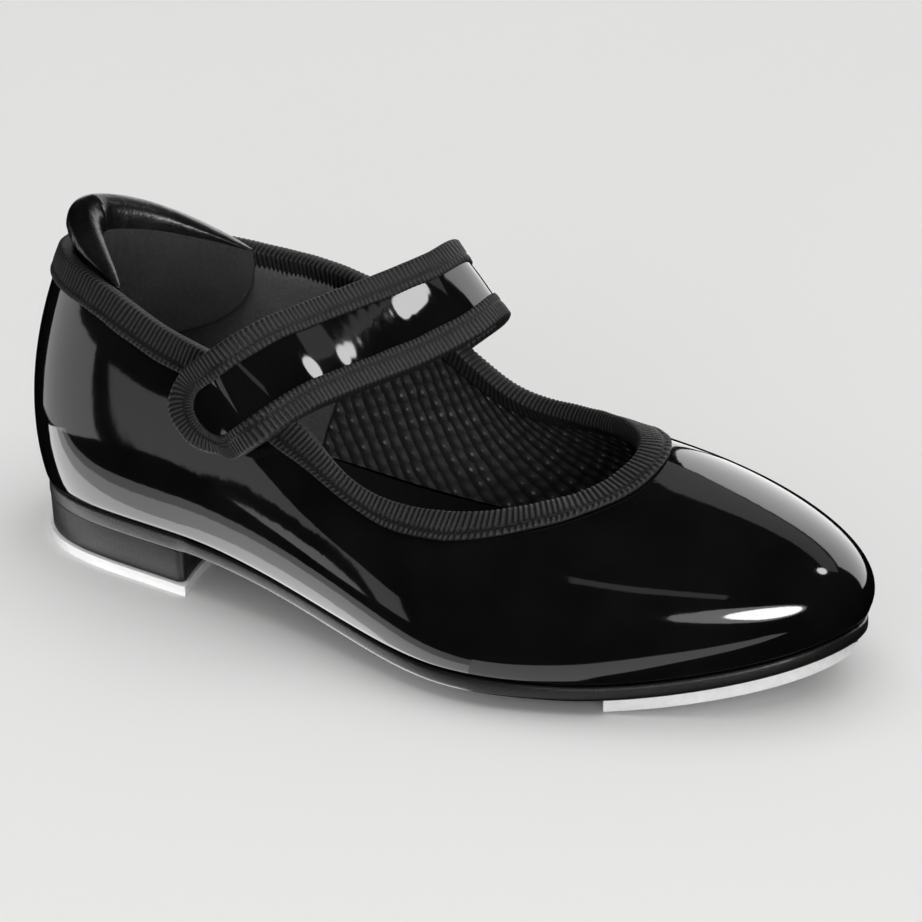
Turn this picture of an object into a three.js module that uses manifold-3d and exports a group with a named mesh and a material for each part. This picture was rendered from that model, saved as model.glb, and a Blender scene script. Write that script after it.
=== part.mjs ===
// Child's Mary-Jane tap shoe, right foot: patent upper on a lasted sole with a strap, a block heel
// and two screwed-on metal taps. Millimetres, +X to the toe, +Y to the inner side of the foot, +Z up.

import * as THREE from 'three';
import { mergeVertices } from 'three/addons/utils/BufferGeometryUtils.js';
import Module from 'manifold-3d';

const wasm = await Module();
wasm.setup();

// ---- driving dimensions -------------------------------------------------------------------------
const SHOE_LENGTH = 200;          // outsole, heel to toe
const BALL_WIDTH = 76;            // outsole across the ball
const TOPLINE_HEIGHT = 52;        // heel seat to the back of the topline
const TOE_SPRING = 9.5;           // rise of the sole from the ball to the tip
const GAP = 0.3;                  // working clearance between pieces that touch

const SOLE_THICKNESS = 3.2;
const HEEL_BLOCK_HEIGHT = 7.4;
const HEEL_TAP_THICKNESS = 2.2;
const TOE_TAP_THICKNESS = 3.0;

const PATENT = 1.1;               // upper leather
const STIFFENER = 0.8;            // toe puff and heel counter
const LINING = 0.8;
const LASTING_MARGIN = 9;         // upper turned in under the insole board
const BOARD_THICKNESS = 1.6;
const SOCK_THICKNESS = 1.6;
const SHANK_WIDTH = 12;

const RIBBON = 0.6;               // grosgrain binding
const RIBBON_LEG = 6;             // its reach down each side of an edge

const STRAP_WIDTH = 22.6;
const STRAP_ROOT_WIDTH = 20;      // it narrows to this where it joins the inner side
const STRAP_FACE = 0.9;
const STRAP_LINING = 0.8;
const PATCH_THICKNESS = 0.9;      // each half of the hook-and-loop fastening
const PATCH_LENGTH = 18;
const PATCH_WIDTH = 9;
const HINGE_FROM_END = 11;        // strap length sewn down below the fold at its inner end

const COLLAR_RISE = 11;           // padded roll above the topline at the back
const COLLAR_THICKNESS = 6.4;
const COLLAR_BULGE = 2.4;         // how far the roll swells outward over the topline
const COLLAR_COVER = 0.8;
const COLLAR_DROP = 3.5;          // its inner edge, below the topline

const BREAST_X = -48;             // heel front at its corners, on a 200 mm sole
const BREAST_SAG = 5.5;           // how far the heel front is hollowed
const TOE_TAP_REAR = 58.5;          // rear edge of the toe tap, on a 200 mm sole
const TAP_INSET = 3;

const SCREW_HEAD_RADIUS = 2.4;
const SCREW_SHANK_RADIUS = 1.1;
const SCREW_CONE = 1.4;
const NAIL_HEAD_RADIUS = 1.9;
const NAIL_SHANK_RADIUS = 0.8;
const NAIL_HEAD = 0.7;
const NAIL_BITE = 4;              // nail length inside the heel block

const ROUND_STEPS = 48;           // sections around the shoe
const PLAN_STEPS = 132;           // corners of the sole's outline

// ---- the last: stations around the foot, back, outer side, toe, inner side ------------------------
// feather edge x y | lower bulge out, up | tangent at the rim dx dy dz | rim x y z above the heel seat
const BASE_LENGTH = 200;
const BASE_WIDTH = 76;
const BASE_TOPLINE = 52;
const STATIONS = [
  [-99, 0, 4.8, 17, -6.5, 0, -15, -93.5, 0, 52],
  [-91, -16.5, 4.4, 17, -4.5, -3, -15, -86, -12.5, 51.5],
  [-74, -24.2, 3.5, 16, -2, -4.5, -14, -71, -18.5, 49],
  [-48, -27.5, 3, 15, 1, -5, -13, -55, -21, 44],
  [-20, -32.4, 3, 13, 4, -4, -14, -36, -24.5, 40.5],
  [7, -39, 3.5, 11, 7, -5, -11, -14.5, -27.6, 31.3],
  [34, -42, 3.5, 10, 12, -6, -7, 3, -31, 23.3],
  [60, -32.5, 4, 10, 15, -5, -4, 24, -30, 22.8],
  [80, -21.3, 5, 10, 21, -4, -2, 38, -21.5, 24.8],
  [94.5, -9.3, 5.4, 11.5, 30, 0, -1, 46, -11, 26.8],
  [99.6, 7.2, 5.2, 12.5, 34, 3, -2.5, 48.5, 1, 30],
  [89.3, 22.5, 5.4, 12, 28, 9, -2.5, 44, 10, 31],
  [66, 31.7, 4.5, 10.5, 17, 9, -5, 34, 18, 29.5],
  [38, 34, 4, 11, 9, 8, -8, 20, 24, 27],
  [10, 30, 4, 12, 3, 5, -11, 4, 26, 27.5],
  [-18, 23.5, 5, 13, -2, 3, -13, -12, 26.5, 35.5],
  [-48, 23, 4.5, 15, -4, 3, -14, -34, 24.5, 46],
  [-74, 24, 4, 16, -4, 3, -14, -60, 23.5, 48.5],
  [-92, 17, 4, 17, -4, 3.5, -15, -82, 15.5, 51],
];
const LOOP = STATIONS.length;
const kx = SHOE_LENGTH / BASE_LENGTH;
const ky = BALL_WIDTH / BASE_WIDTH;
const kz = TOPLINE_HEIGHT / BASE_TOPLINE;

function periodicSpline(rows) {
  const width = rows[0].length;
  const count = rows.length;
  let coef = rows.map((row) => [...row]);
  for (let pass = 0; pass < 40; pass += 1) {
    coef = rows.map((row, i) => row.map((v, j) =>
      (6 * v - coef[(i + count - 1) % count][j] - coef[(i + 1) % count][j]) / 4));
  }
  return (t) => {
    const u = ((t % count) + count) % count;
    const i = Math.floor(u);
    const f = u - i;
    const weights = [(1 - f) ** 3 / 6, (3 * f ** 3 - 6 * f * f + 4) / 6,
      (-3 * f ** 3 + 3 * f * f + 3 * f + 1) / 6, f ** 3 / 6];
    return Array.from({ length: width }, (_, j) =>
      weights.reduce((sum, w, k) => sum + w * coef[(i + k - 1 + count) % count][j], 0));
  };
}

const last = periodicSpline(STATIONS);
const V = (x, y, z = 0) => new THREE.Vector3(x, y, z);
const UP = V(0, 0, 1);
const smooth = (u) => {
  const c = Math.min(1, Math.max(0, u));
  return c * c * (3 - 2 * c);
};

// ---- sole profile ---------------------------------------------------------------------------------
const BALL_Z = TOE_TAP_THICKNESS + GAP;
const HEEL_Z = HEEL_TAP_THICKNESS + GAP + HEEL_BLOCK_HEIGHT + GAP;
const WAIST = [-50, 28];          // where the sole comes down from the heel, on a 200 mm sole
const SPRING_FROM = 52;

function soleBottom(x) {
  const u = x / kx;
  const fall = 1 - smooth((u - WAIST[0]) / (WAIST[1] - WAIST[0]));
  const run = Math.max(0, (u - SPRING_FROM) / (BASE_LENGTH / 2 - SPRING_FROM));
  return BALL_Z + (HEEL_Z - BALL_Z) * fall + TOE_SPRING * run ** 1.75;
}
const soleTop = (x) => soleBottom(x) + SOLE_THICKNESS;
const SEAT_Z = soleTop(-BASE_LENGTH * kx / 2);

// heights above the sole top
const MARGIN_LOW = GAP;
const MARGIN_HIGH = MARGIN_LOW + PATENT;
const BOARD_LOW = MARGIN_HIGH + GAP;
const BOARD_HIGH = BOARD_LOW + BOARD_THICKNESS;
const SOCK_LOW = BOARD_HIGH + GAP;
const SOCK_HIGH = SOCK_LOW + SOCK_THICKNESS;
const CORNER_RISE = 1.9;          // where the wall starts above the sole top

// ---- the wall of the upper ------------------------------------------------------------------------
function feather(t, inset = 0) {
  const p = last(t);
  const q = last(t + 0.01);
  const r = last(t - 0.01);
  const tangent = V((q[0] - r[0]) * kx, (q[1] - r[1]) * ky, 0).normalize();
  const out = V(tangent.y, -tangent.x, 0);
  return { point: V(p[0] * kx, p[1] * ky, 0).addScaledVector(out, -inset), out };
}

const CURVE_STEPS = 48;
const wallCache = new Map();

function wallCurve(t) {
  const key = t.toFixed(4);
  if (wallCache.has(key)) return wallCache.get(key);
  const s = last(t);
  const { point, out } = feather(t);
  const start = point.clone().setZ(soleTop(point.x) + CORNER_RISE);
  const low = start.clone().addScaledVector(out, s[2]).addScaledVector(UP, s[3]);
  const rim = V(s[7] * kx, s[8] * ky, SEAT_Z + s[9] * kz);
  const high = rim.clone().add(V(s[4] * kx, s[5] * ky, s[6] * kz));
  const points = new THREE.CubicBezierCurve3(rim, high, low, start).getPoints(CURVE_STEPS);
  const along = [0];
  for (let i = 1; i < points.length; i += 1) along.push(along[i - 1] + points[i].distanceTo(points[i - 1]));
  const curve = { points, along, length: along[CURVE_STEPS] };
  wallCache.set(key, curve);
  return curve;
}

// point on the outer face of the wall, `down` millimetres below the rim
function wallPoint(t, down) {
  const { points, along, length } = wallCurve(t);
  if (down <= 0) {
    const tip = points[0].clone().sub(points[1]).normalize();
    return points[0].clone().addScaledVector(tip, -down);
  }
  const d = Math.min(down, length);
  let i = 1;
  while (i < along.length - 1 && along[i] < d) i += 1;
  const f = (d - along[i - 1]) / (along[i] - along[i - 1]);
  return points[i - 1].clone().lerp(points[i], f);
}

function wallNormal(t, down) {
  const length = wallCurve(t).length;
  const d = Math.min(Math.max(down, 0.6), length - 0.6);
  const share = d / length;
  const ahead = wallPoint(t + 0.02, share * wallCurve(t + 0.02).length);
  const behind = wallPoint(t - 0.02, share * wallCurve(t - 0.02).length);
  const rise = wallPoint(t, d - 0.5).sub(wallPoint(t, d + 0.5));
  return ahead.sub(behind).cross(rise).normalize();
}
const onWall = (t, down, off) => wallPoint(t, down).addScaledVector(wallNormal(t, down), off);

// ---- meshes ---------------------------------------------------------------------------------------
function closedBody(vertices, faces) {
  let volume = 0;
  for (const [a, b, c] of faces) {
    volume += vertices[a].dot(vertices[b].clone().cross(vertices[c])) / 6;
  }
  const order = volume > 0 ? faces : faces.map(([a, b, c]) => [a, c, b]);
  const geometry = new THREE.BufferGeometry();
  geometry.setAttribute('position',
    new THREE.Float32BufferAttribute(vertices.flatMap((v) => [v.x, v.y, v.z]), 3));
  geometry.setIndex(order.flat());
  geometry.computeVertexNormals();
  return geometry;
}

// each section is a strip with a front row and a back row of points; sections follow one another
function sweepStrips(sections, closed) {
  const m = sections[0].front.length;
  const ring = 2 * m;
  const vertices = sections.flatMap(({ front, back }) => [...front, ...[...back].reverse()]);
  const faces = [];
  const quad = (a, b, c, d) => faces.push([a, b, c], [a, c, d]);
  const spans = closed ? sections.length : sections.length - 1;
  for (let i = 0; i < spans; i += 1) {
    const p = i * ring;
    const q = ((i + 1) % sections.length) * ring;
    for (let k = 0; k < ring; k += 1) {
      const n = (k + 1) % ring;
      if (k < m) quad(p + k, q + k, q + n, p + n);
      else faces.push([p + k, q + k, p + n], [q + k, q + n, p + n]);
    }
  }
  if (!closed) {
    const end = (sections.length - 1) * ring;
    for (let k = 0; k < m - 1; k += 1) {
      quad(k, k + 1, ring - 2 - k, ring - 1 - k);
      quad(end + k, end + ring - 1 - k, end + ring - 2 - k, end + k + 1);
    }
  }
  return closedBody(vertices, faces);
}

function solidOf(geometry) {
  const bare = geometry.clone();
  bare.deleteAttribute('normal');
  bare.deleteAttribute('uv');
  const merged = mergeVertices(bare, 1e-4);
  return new wasm.Manifold(new wasm.Mesh({
    numProp: 3,
    vertProperties: new Float32Array(merged.attributes.position.array),
    triVerts: new Uint32Array(merged.index.array),
  }));
}

function geometryOf(solid) {
  const mesh = solid.getMesh();
  const geometry = new THREE.BufferGeometry();
  geometry.setAttribute('position', new THREE.BufferAttribute(mesh.vertProperties, 3));
  geometry.setIndex(new THREE.BufferAttribute(mesh.triVerts, 1));
  geometry.computeVertexNormals();
  return geometry;
}

const REACH = 2 * SHOE_LENGTH;

function prism(points) {
  const shape = new THREE.Shape(points.map((p) => new THREE.Vector2(p.x, p.y)));
  const geometry = new THREE.ExtrudeGeometry(shape, { depth: REACH, bevelEnabled: false });
  return solidOf(geometry.translate(0, 0, -REACH / 2));
}

// everything between two heights that follow the sole along its length
function layer(lowAt, highAt, step = 5 * kx) {
  const ends = BASE_LENGTH * kx / 2 + 6;
  const xs = [];
  for (let x = -ends; x <= ends + 1e-6; x += step) xs.push(x);
  const shape = new THREE.Shape([
    ...xs.map((x) => new THREE.Vector2(x, lowAt(x))),
    ...[...xs].reverse().map((x) => new THREE.Vector2(x, highAt(x))),
  ]);
  const geometry = new THREE.ExtrudeGeometry(shape, { depth: REACH, bevelEnabled: false });
  return solidOf(geometry.rotateX(Math.PI / 2).translate(0, REACH / 2, 0));
}

function plan(inset) {
  return Array.from({ length: PLAN_STEPS }, (_, i) => feather(i * LOOP / PLAN_STEPS, inset).point);
}

const between = (low, high) => layer((x) => soleTop(x) + low, (x) => soleTop(x) + high);
const sheetOf = (inset, low, high) => prism(plan(inset)).intersect(between(low, high));

// ---- placing pieces --------------------------------------------------------------------------------
const shoe = new THREE.Group();

function add(name, geometry, colour, roughness = 0.6, metalness = 0) {
  const material = new THREE.MeshStandardMaterial({ color: colour, roughness, metalness });
  const mesh = new THREE.Mesh(geometry, material);
  mesh.name = name;
  shoe.add(mesh);
}

const BLACK_PATENT = 0x070708;
const RIBBON_BLACK = 0x1c1c1e;
const CHARCOAL = 0x29292d;
const SOLE_BLACK = 0x101012;
const ALUMINIUM = 0xc9cbce;
const STEEL = 0x9a9ca0;
const BOARD_BROWN = 0x9b7b52;

// ---- bottom: holes first, because several pieces share them ------------------------------------------
function lathe(profile) {
  const points = profile.map(([r, z]) => new THREE.Vector2(r, z));
  return new THREE.LatheGeometry(points, 10).rotateX(Math.PI / 2);
}

// countersunk screw pointing up, its head flush with z = 0; grow widens it into its clearance hole
function screw(length, grow = 0) {
  const below = grow > 0 ? 1 : 0;
  const tip = grow > 0 ? [[grow, length + grow]] : [];
  return lathe([[0, -below], [SCREW_HEAD_RADIUS + grow, -below], [SCREW_HEAD_RADIUS + grow, 0.3],
    [SCREW_SHANK_RADIUS + grow, SCREW_CONE + grow], [SCREW_SHANK_RADIUS + grow, length - 0.8],
    ...tip, [0, length + grow]]);
}

function nail(length, grow = 0) {
  const above = grow > 0 ? 2 : 0;
  return lathe([[0, -length - grow], [NAIL_SHANK_RADIUS + grow, -length - grow],
    [NAIL_SHANK_RADIUS + grow, -NAIL_HEAD - grow], [NAIL_HEAD_RADIUS + grow, -NAIL_HEAD - grow],
    [NAIL_HEAD_RADIUS + grow, above], [0, above]]);
}

const HEEL_SCREWS = [[-60, -17], [-60, 17], [-90, 0]];
const HEEL_SCREW_LENGTH = 7.5;
const TOE_SCREWS = [[66, -18], [66, 20], [87, 4]];
const TOE_SCREW_LENGTH = TOE_TAP_THICKNESS + GAP + SOLE_THICKNESS - 0.6;
const NAILS = [[-57, -10], [-57, 10], [-74, -11], [-74, 11], [-82, 0]];
const HEAD_DEPTH = 0.2;           // screw heads sit just below the face of the tap

const heelScrewAt = ([x, y], grow) =>
  screw(HEEL_SCREW_LENGTH, grow).translate(x * kx, y * ky, HEAD_DEPTH);

function toeScrewAt([x, y], grow) {
  const px = x * kx;
  const slope = Math.atan((soleBottom(px + 1) - soleBottom(px - 1)) / 2);
  const face = soleBottom(px) - GAP - TOE_TAP_THICKNESS;
  return screw(TOE_SCREW_LENGTH, grow).translate(0, 0, HEAD_DEPTH).rotateY(-slope).translate(px, y * ky, face);
}

function nailAt([x, y], grow) {
  const px = x * kx;
  const top = soleTop(px) + BOARD_HIGH - 0.3;
  const length = top - (soleBottom(px) - GAP) + NAIL_BITE;
  return nail(length, grow).translate(px, y * ky, top);
}

const cutAll = (solid, geometries) => geometries.reduce((rest, g) => rest.subtract(solidOf(g)), solid);
const nailHoles = NAILS.map((at) => nailAt(at, GAP));
const toeHoles = TOE_SCREWS.map((at) => toeScrewAt(at, GAP));
const heelHoles = HEEL_SCREWS.map((at) => heelScrewAt(at, GAP));

// ---- sole, boards and heel ---------------------------------------------------------------------------
const WAIST_TUCK = 0.6;           // the outsole draws in under the upper at the waist
function soleOutline(inset) {
  return Array.from({ length: PLAN_STEPS }, (_, i) => {
    const t = i * LOOP / PLAN_STEPS;
    const u = feather(t).point.x / kx;
    const tuck = WAIST_TUCK * Math.exp(-(((u + 14) / 26) ** 2));
    return feather(t, inset + tuck).point;
  });
}

const outsole = prism(soleOutline(0.4)).intersect(layer(soleBottom, soleTop));
add('outsole', geometryOf(cutAll(outsole, [...nailHoles, ...toeHoles])), SOLE_BLACK, 0.5);

const board = sheetOf(PATENT + 1.1, BOARD_LOW, BOARD_HIGH);
add('insole_board', geometryOf(cutAll(board, nailHoles)), BOARD_BROWN, 0.9);

const SOCK_INSET = PATENT + GAP + STIFFENER + GAP + LINING + 0.6;
add('sock_lining', geometryOf(sheetOf(SOCK_INSET, SOCK_LOW, SOCK_HIGH)), CHARCOAL, 0.9);

const block = (x0, x1, y0, y1) => prism([V(x0, y0), V(x1, y0), V(x1, y1), V(x0, y1)]);
const SHANK_ENDS = [-70, 22];
const FILLER_REAR = 26;
const shank = block(SHANK_ENDS[0] * kx, SHANK_ENDS[1] * kx, -SHANK_WIDTH / 2, SHANK_WIDTH / 2);
add('shank', geometryOf(cutAll(shank.intersect(between(MARGIN_LOW, MARGIN_HIGH)), nailHoles)),
  STEEL, 0.4, 1);

const filler = prism(plan(LASTING_MARGIN + 0.6))
  .intersect(block(FILLER_REAR * kx, REACH, -REACH, REACH))
  .intersect(between(MARGIN_LOW, MARGIN_HIGH));
add('forefoot_filler', geometryOf(filler), BOARD_BROWN, 1);

// hollowed heel front, as the region behind it
function behindBreast(shift) {
  const half = 40 * ky;
  const arc = [];
  for (let i = -12; i <= 12; i += 1) {
    const y = half * i / 12;
    const hollow = BREAST_SAG * Math.max(0, 1 - (y / (26 * ky)) ** 2);
    arc.push(V(BREAST_X * kx - hollow + shift, y));
  }
  return prism([V(-REACH, -half), ...arc, V(-REACH, half)]);
}

const HEEL_TOP_INSET = 0.8;
const HEEL_FOOT_INSET = 1.5;
const heelLoft = sweepStrips(plan(0).map((_, i) => {
  const t = i * LOOP / PLAN_STEPS;
  const foot = feather(t, HEEL_FOOT_INSET).point.setZ(HEEL_TAP_THICKNESS + GAP);
  const head = feather(t, HEEL_TOP_INSET).point.setZ(HEEL_Z + 3);
  const centre = V(BREAST_X * kx, 0, 0);
  return {
    front: [centre.clone().setZ(foot.z), foot],
    back: [centre.clone().setZ(head.z), head],
  };
}), true);
const heelSolid = solidOf(heelLoft)
  .intersect(behindBreast(0))
  .intersect(layer(() => HEEL_TAP_THICKNESS + GAP, (x) => soleBottom(x) - GAP));
add('heel_block', geometryOf(cutAll(heelSolid, [...nailHoles, ...heelHoles])), SOLE_BLACK, 0.45);

const heelTap = prism(plan(0.7)).intersect(behindBreast(0.6))
  .intersect(layer(() => 0, () => HEEL_TAP_THICKNESS));
add('heel_tap', geometryOf(cutAll(heelTap, heelHoles)), ALUMINIUM, 0.35, 1);

const toeTap = prism(plan(TAP_INSET)).intersect(block(TOE_TAP_REAR * kx, REACH, -REACH, REACH))
  .intersect(layer((x) => soleBottom(x) - GAP - TOE_TAP_THICKNESS, (x) => soleBottom(x) - GAP));
add('toe_tap', geometryOf(cutAll(toeTap, toeHoles)), ALUMINIUM, 0.35, 1);

HEEL_SCREWS.forEach((at, i) => add(`heel_tap_screw_${i + 1}`, heelScrewAt(at), STEEL, 0.35, 1));
TOE_SCREWS.forEach((at, i) => add(`toe_tap_screw_${i + 1}`, toeScrewAt(at), STEEL, 0.35, 1));
NAILS.forEach((at, i) => add(`heel_nail_${i + 1}`, nailAt(at), STEEL, 0.4, 1));

// ---- upper -------------------------------------------------------------------------------------------
const ROWS_BELOW = 5;
const LINING_FOOT = 2.2;          // the linings stop this far above the start of the wall
const tSteps = Array.from({ length: ROUND_STEPS }, (_, i) => i * LOOP / ROUND_STEPS);

function rowsOf(t) {
  const length = wallCurve(t).length;
  const half = RIBBON_LEG / 2;
  const rest = length - RIBBON_LEG - LINING_FOOT;
  const lower = Array.from({ length: ROWS_BELOW }, (_, i) => RIBBON_LEG + rest * (i + 1) / ROWS_BELOW);
  return [0, half, RIBBON_LEG, ...lower];
}

function marginPoint(t, inset, height) {
  const p = feather(t, inset).point;
  return p.setZ(soleTop(p.x) + height);
}

const upperSections = tSteps.map((t) => {
  const rows = rowsOf(t);
  const foot = wallCurve(t).length;
  return {
    front: [...rows.map((d) => onWall(t, d, 0)), onWall(t, foot, 0),
      marginPoint(t, 0.6, 0.75), marginPoint(t, 1.9, MARGIN_LOW), marginPoint(t, LASTING_MARGIN, MARGIN_LOW)],
    back: [...rows.map((d) => onWall(t, d, -PATENT)), onWall(t, foot - 0.3, -PATENT),
      marginPoint(t, 1.5, 1.75), marginPoint(t, 2.3, MARGIN_HIGH), marginPoint(t, LASTING_MARGIN, MARGIN_HIGH)],
  };
});
add('patent_upper', sweepStrips(upperSections, true), BLACK_PATENT, 0.08);

// the stiffened ends: 1 inside them, 0 in the waist
const COUNTER_SPAN = 2.5;         // stations either side of the back
const PUFF_CENTRE = 10;
const PUFF_SPAN = 1.6;
const backDistance = (t) => Math.min(t, LOOP - t);
const stiffAt = (t) => Math.max(smooth((COUNTER_SPAN + 1.2 - backDistance(t)) / 0.9),
  smooth((PUFF_SPAN + 1.2 - Math.abs(t - PUFF_CENTRE)) / 0.9));
const liningBack = (t, row) => PATENT + GAP + (STIFFENER + GAP) * stiffAt(t) * (row < 2 ? 0 : 1);

function liningSections(steps) {
  return steps.map((t) => {
    const rows = rowsOf(t);
    return {
      front: rows.map((d, i) => onWall(t, d, -liningBack(t, i))),
      back: rows.map((d, i) => onWall(t, d, -liningBack(t, i) - LINING)),
    };
  });
}

function stepsFrom(from, to) {
  const step = LOOP / ROUND_STEPS;
  const first = Math.ceil(from / step - 1e-6);
  const lastStep = Math.floor(to / step + 1e-6);
  const list = [];
  for (let i = first; i <= lastStep; i += 1) list.push(((i % ROUND_STEPS) + ROUND_STEPS) % ROUND_STEPS * step);
  return list;
}

// narrows the run of sections at each end so that neighbouring pieces keep their gap
function openEnds(steps) {
  const nudge = GAP / 60;
  const list = [...steps];
  list[0] += nudge;
  list[list.length - 1] -= nudge;
  return list;
}

const LINING_SEAM_OUT = 3.8;      // where quarter lining meets vamp lining, outer side
const LINING_SEAM_IN = 15.83;     // and inner side
add('quarter_lining', sweepStrips(liningSections(openEnds(stepsFrom(LINING_SEAM_IN - LOOP, LINING_SEAM_OUT))), false),
  CHARCOAL, 0.95);
add('vamp_lining', sweepStrips(liningSections(openEnds(stepsFrom(LINING_SEAM_OUT, LINING_SEAM_IN))), false),
  CHARCOAL, 0.95);

function stiffener(steps, firstRow) {
  return sweepStrips(steps.map((t) => {
    const rows = rowsOf(t).slice(firstRow);
    return {
      front: rows.map((d) => onWall(t, d, -PATENT - GAP)),
      back: rows.map((d) => onWall(t, d, -PATENT - GAP - STIFFENER)),
    };
  }), false);
}
add('heel_counter', stiffener(stepsFrom(-COUNTER_SPAN, COUNTER_SPAN), 3), BOARD_BROWN, 0.9);
add('toe_puff', stiffener(stepsFrom(PUFF_CENTRE - PUFF_SPAN, PUFF_CENTRE + PUFF_SPAN), 4), BOARD_BROWN, 0.9);

// ---- ribbon folded over the top edge -------------------------------------------------------------------
const WALL_STACK = PATENT + GAP + LINING;

function bindingSections(steps) {
  const inside = -(WALL_STACK + GAP);
  return steps.map((t) => ({
    front: [onWall(t, RIBBON_LEG, GAP + RIBBON), onWall(t, RIBBON_LEG / 2, GAP + RIBBON),
      onWall(t, -GAP, GAP + RIBBON), onWall(t, -GAP - RIBBON, GAP - 0.1),
      onWall(t, -GAP - RIBBON, inside + 0.1), onWall(t, -GAP, inside - RIBBON),
      onWall(t, RIBBON_LEG / 2, inside - RIBBON)],
    back: [onWall(t, RIBBON_LEG, GAP), onWall(t, RIBBON_LEG / 2, GAP), onWall(t, -GAP / 2, GAP),
      onWall(t, -GAP, GAP - 0.1), onWall(t, -GAP, inside + 0.1), onWall(t, -GAP / 2, inside),
      onWall(t, RIBBON_LEG / 2, inside)],
  }));
}
const BINDING_MEET_OUT = 4.43;    // under the strap, outer side
const BINDING_MEET_IN = 15.2;     // beside the strap's root
add('topline_binding', sweepStrips(bindingSections(
  openEnds(stepsFrom(BINDING_MEET_IN - LOOP, BINDING_MEET_OUT))), false), RIBBON_BLACK, 0.85);
add('throat_binding', sweepStrips(bindingSections(
  openEnds(stepsFrom(BINDING_MEET_OUT, BINDING_MEET_IN))), false), RIBBON_BLACK, 0.85);

// ---- padded heel collar ----------------------------------------------------------------------------------
const COLLAR_SPAN = 1.98;
const COLLAR_STAND = WALL_STACK + GAP + RIBBON + GAP;   // clears the binding's inner leg
const COLLAR_END_RISE = 2;

function collarSections(cover) {
  return stepsFrom(-COLLAR_SPAN, COLLAR_SPAN).map((t) => {
    const rim = wallPoint(t, 0);
    const slope = wallNormal(t, 0);
    const out = V(slope.x, slope.y, 0).normalize();
    const fade = 1 - (backDistance(t) / (COLLAR_SPAN + 0.1)) ** 1.6;
    const rise = COLLAR_END_RISE + (COLLAR_RISE - COLLAR_END_RISE) * fade;
    const thick = COLLAR_THICKNESS * (0.62 + 0.38 * fade);
    const bulge = COLLAR_BULGE * fade;
    const at = (across, up) => rim.clone().addScaledVector(out, -COLLAR_STAND - across).setZ(rim.z + up);
    const foot = GAP + RIBBON + GAP;
    const height = rise - foot;
    if (cover) {
      const skin = COLLAR_COVER;
      return {
        front: [at(0, -1.5), at(0, foot), at(-bulge, foot + 0.35 * height), at(-0.7 * bulge, foot + 0.75 * height),
          at(0.4 * thick, rise), at(0.85 * thick, foot + 0.7 * height), at(thick, foot), at(thick, -COLLAR_DROP)],
        back: [at(skin, -1.5), at(skin, foot), at(skin - bulge, foot + 0.35 * height - 0.1),
          at(skin - 0.6 * bulge, foot + 0.75 * height - 0.4), at(0.4 * thick, rise - skin),
          at(0.85 * thick - skin, foot + 0.7 * height - 0.4), at(thick - skin, foot), at(thick - skin, -COLLAR_DROP)],
      };
    }
    const inset = COLLAR_COVER + GAP;
    return {
      front: [at(inset, -1.2), at(inset, foot), at(inset - bulge, foot + 0.35 * height - 0.1),
        at(inset - 0.5 * bulge, foot + 0.75 * height - 0.7), at(0.4 * thick - 0.1, rise - inset - 0.05)],
      back: [at(thick - inset, -1.2), at(thick - inset, foot - 0.1), at(0.93 * thick - inset, foot + 0.4 * height - 0.3),
        at(0.85 * thick - inset - 0.1, foot + 0.7 * height - 0.7), at(0.4 * thick + 0.1, rise - inset - 0.05)],
    };
  });
}
add('collar_cover', sweepStrips(collarSections(true), false), BLACK_PATENT, 0.35);
add('collar_foam', sweepStrips(collarSections(false), false), 0xd8cfa8, 1);

// ---- strap --------------------------------------------------------------------------------------------------
// stack below the outer face of the strap, counted along its own normal
const FACE_LOW = -STRAP_FACE;
const SLIP_HIGH = FACE_LOW - GAP;
const SLIP_LOW = SLIP_HIGH - STRAP_LINING;
const UNDER_HIGH = SLIP_LOW - GAP;
const UNDER_LOW = UNDER_HIGH - RIBBON;
const HOOK_LOW = UNDER_HIGH - PATCH_THICKNESS;
const LOOP_HIGH = HOOK_LOW - GAP;
const LOOP_LOW = LOOP_HIGH - PATCH_THICKNESS;
const STRAP_STAND = -LOOP_LOW + GAP;
const ROOT_STAND = -UNDER_LOW + GAP + RIBBON + GAP;

const flat = (x, y, z) => V(x * kx, y * ky, SEAT_Z + z * kz);
const STRAP_PATH = [
  [onWall(3.47, 19, STRAP_STAND + 0.4), V(0.66, 0.05, -0.75)],
  [onWall(3.77, 12.2, STRAP_STAND + 0.7), V(0.62, -0.03, -0.785)],
  [flat(-27.6, -34.2, 40.3), V(0.62, -0.1, -0.78)],
  [flat(-21.6, -26.2, 45.2), V(0.68, -0.16, -0.72)],
  [flat(-17.4, -12, 46.4), V(0.69, -0.15, -0.71)],
  [flat(-12.8, 4.5, 47.2), V(0.66, -0.1, -0.74)],
  [flat(-9, 19.5, 48.6), V(0.65, -0.03, -0.76)],
  [flat(-9.2, 30.8, 48.8), V(0.66, 0.02, -0.75)],
  [flat(-12.4, 36.2, 44.4), V(0.72, -0.02, -0.69)],
  [onWall(15.33, 2.5, ROOT_STAND + 1.9), V(0.76, 0, -0.65)],
  [onWall(15.56, 12.5, ROOT_STAND + 0.7), V(0.76, 0, -0.65)],
];
const spine = new THREE.CatmullRomCurve3(STRAP_PATH.map(([p]) => p), false, 'catmullrom', 0.5);
const breadth = new THREE.CatmullRomCurve3(STRAP_PATH.map(([, w]) => w), false, 'catmullrom', 0.5);
spine.arcLengthDivisions = 400;
const STRAP_LENGTH = spine.getLength();

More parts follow.
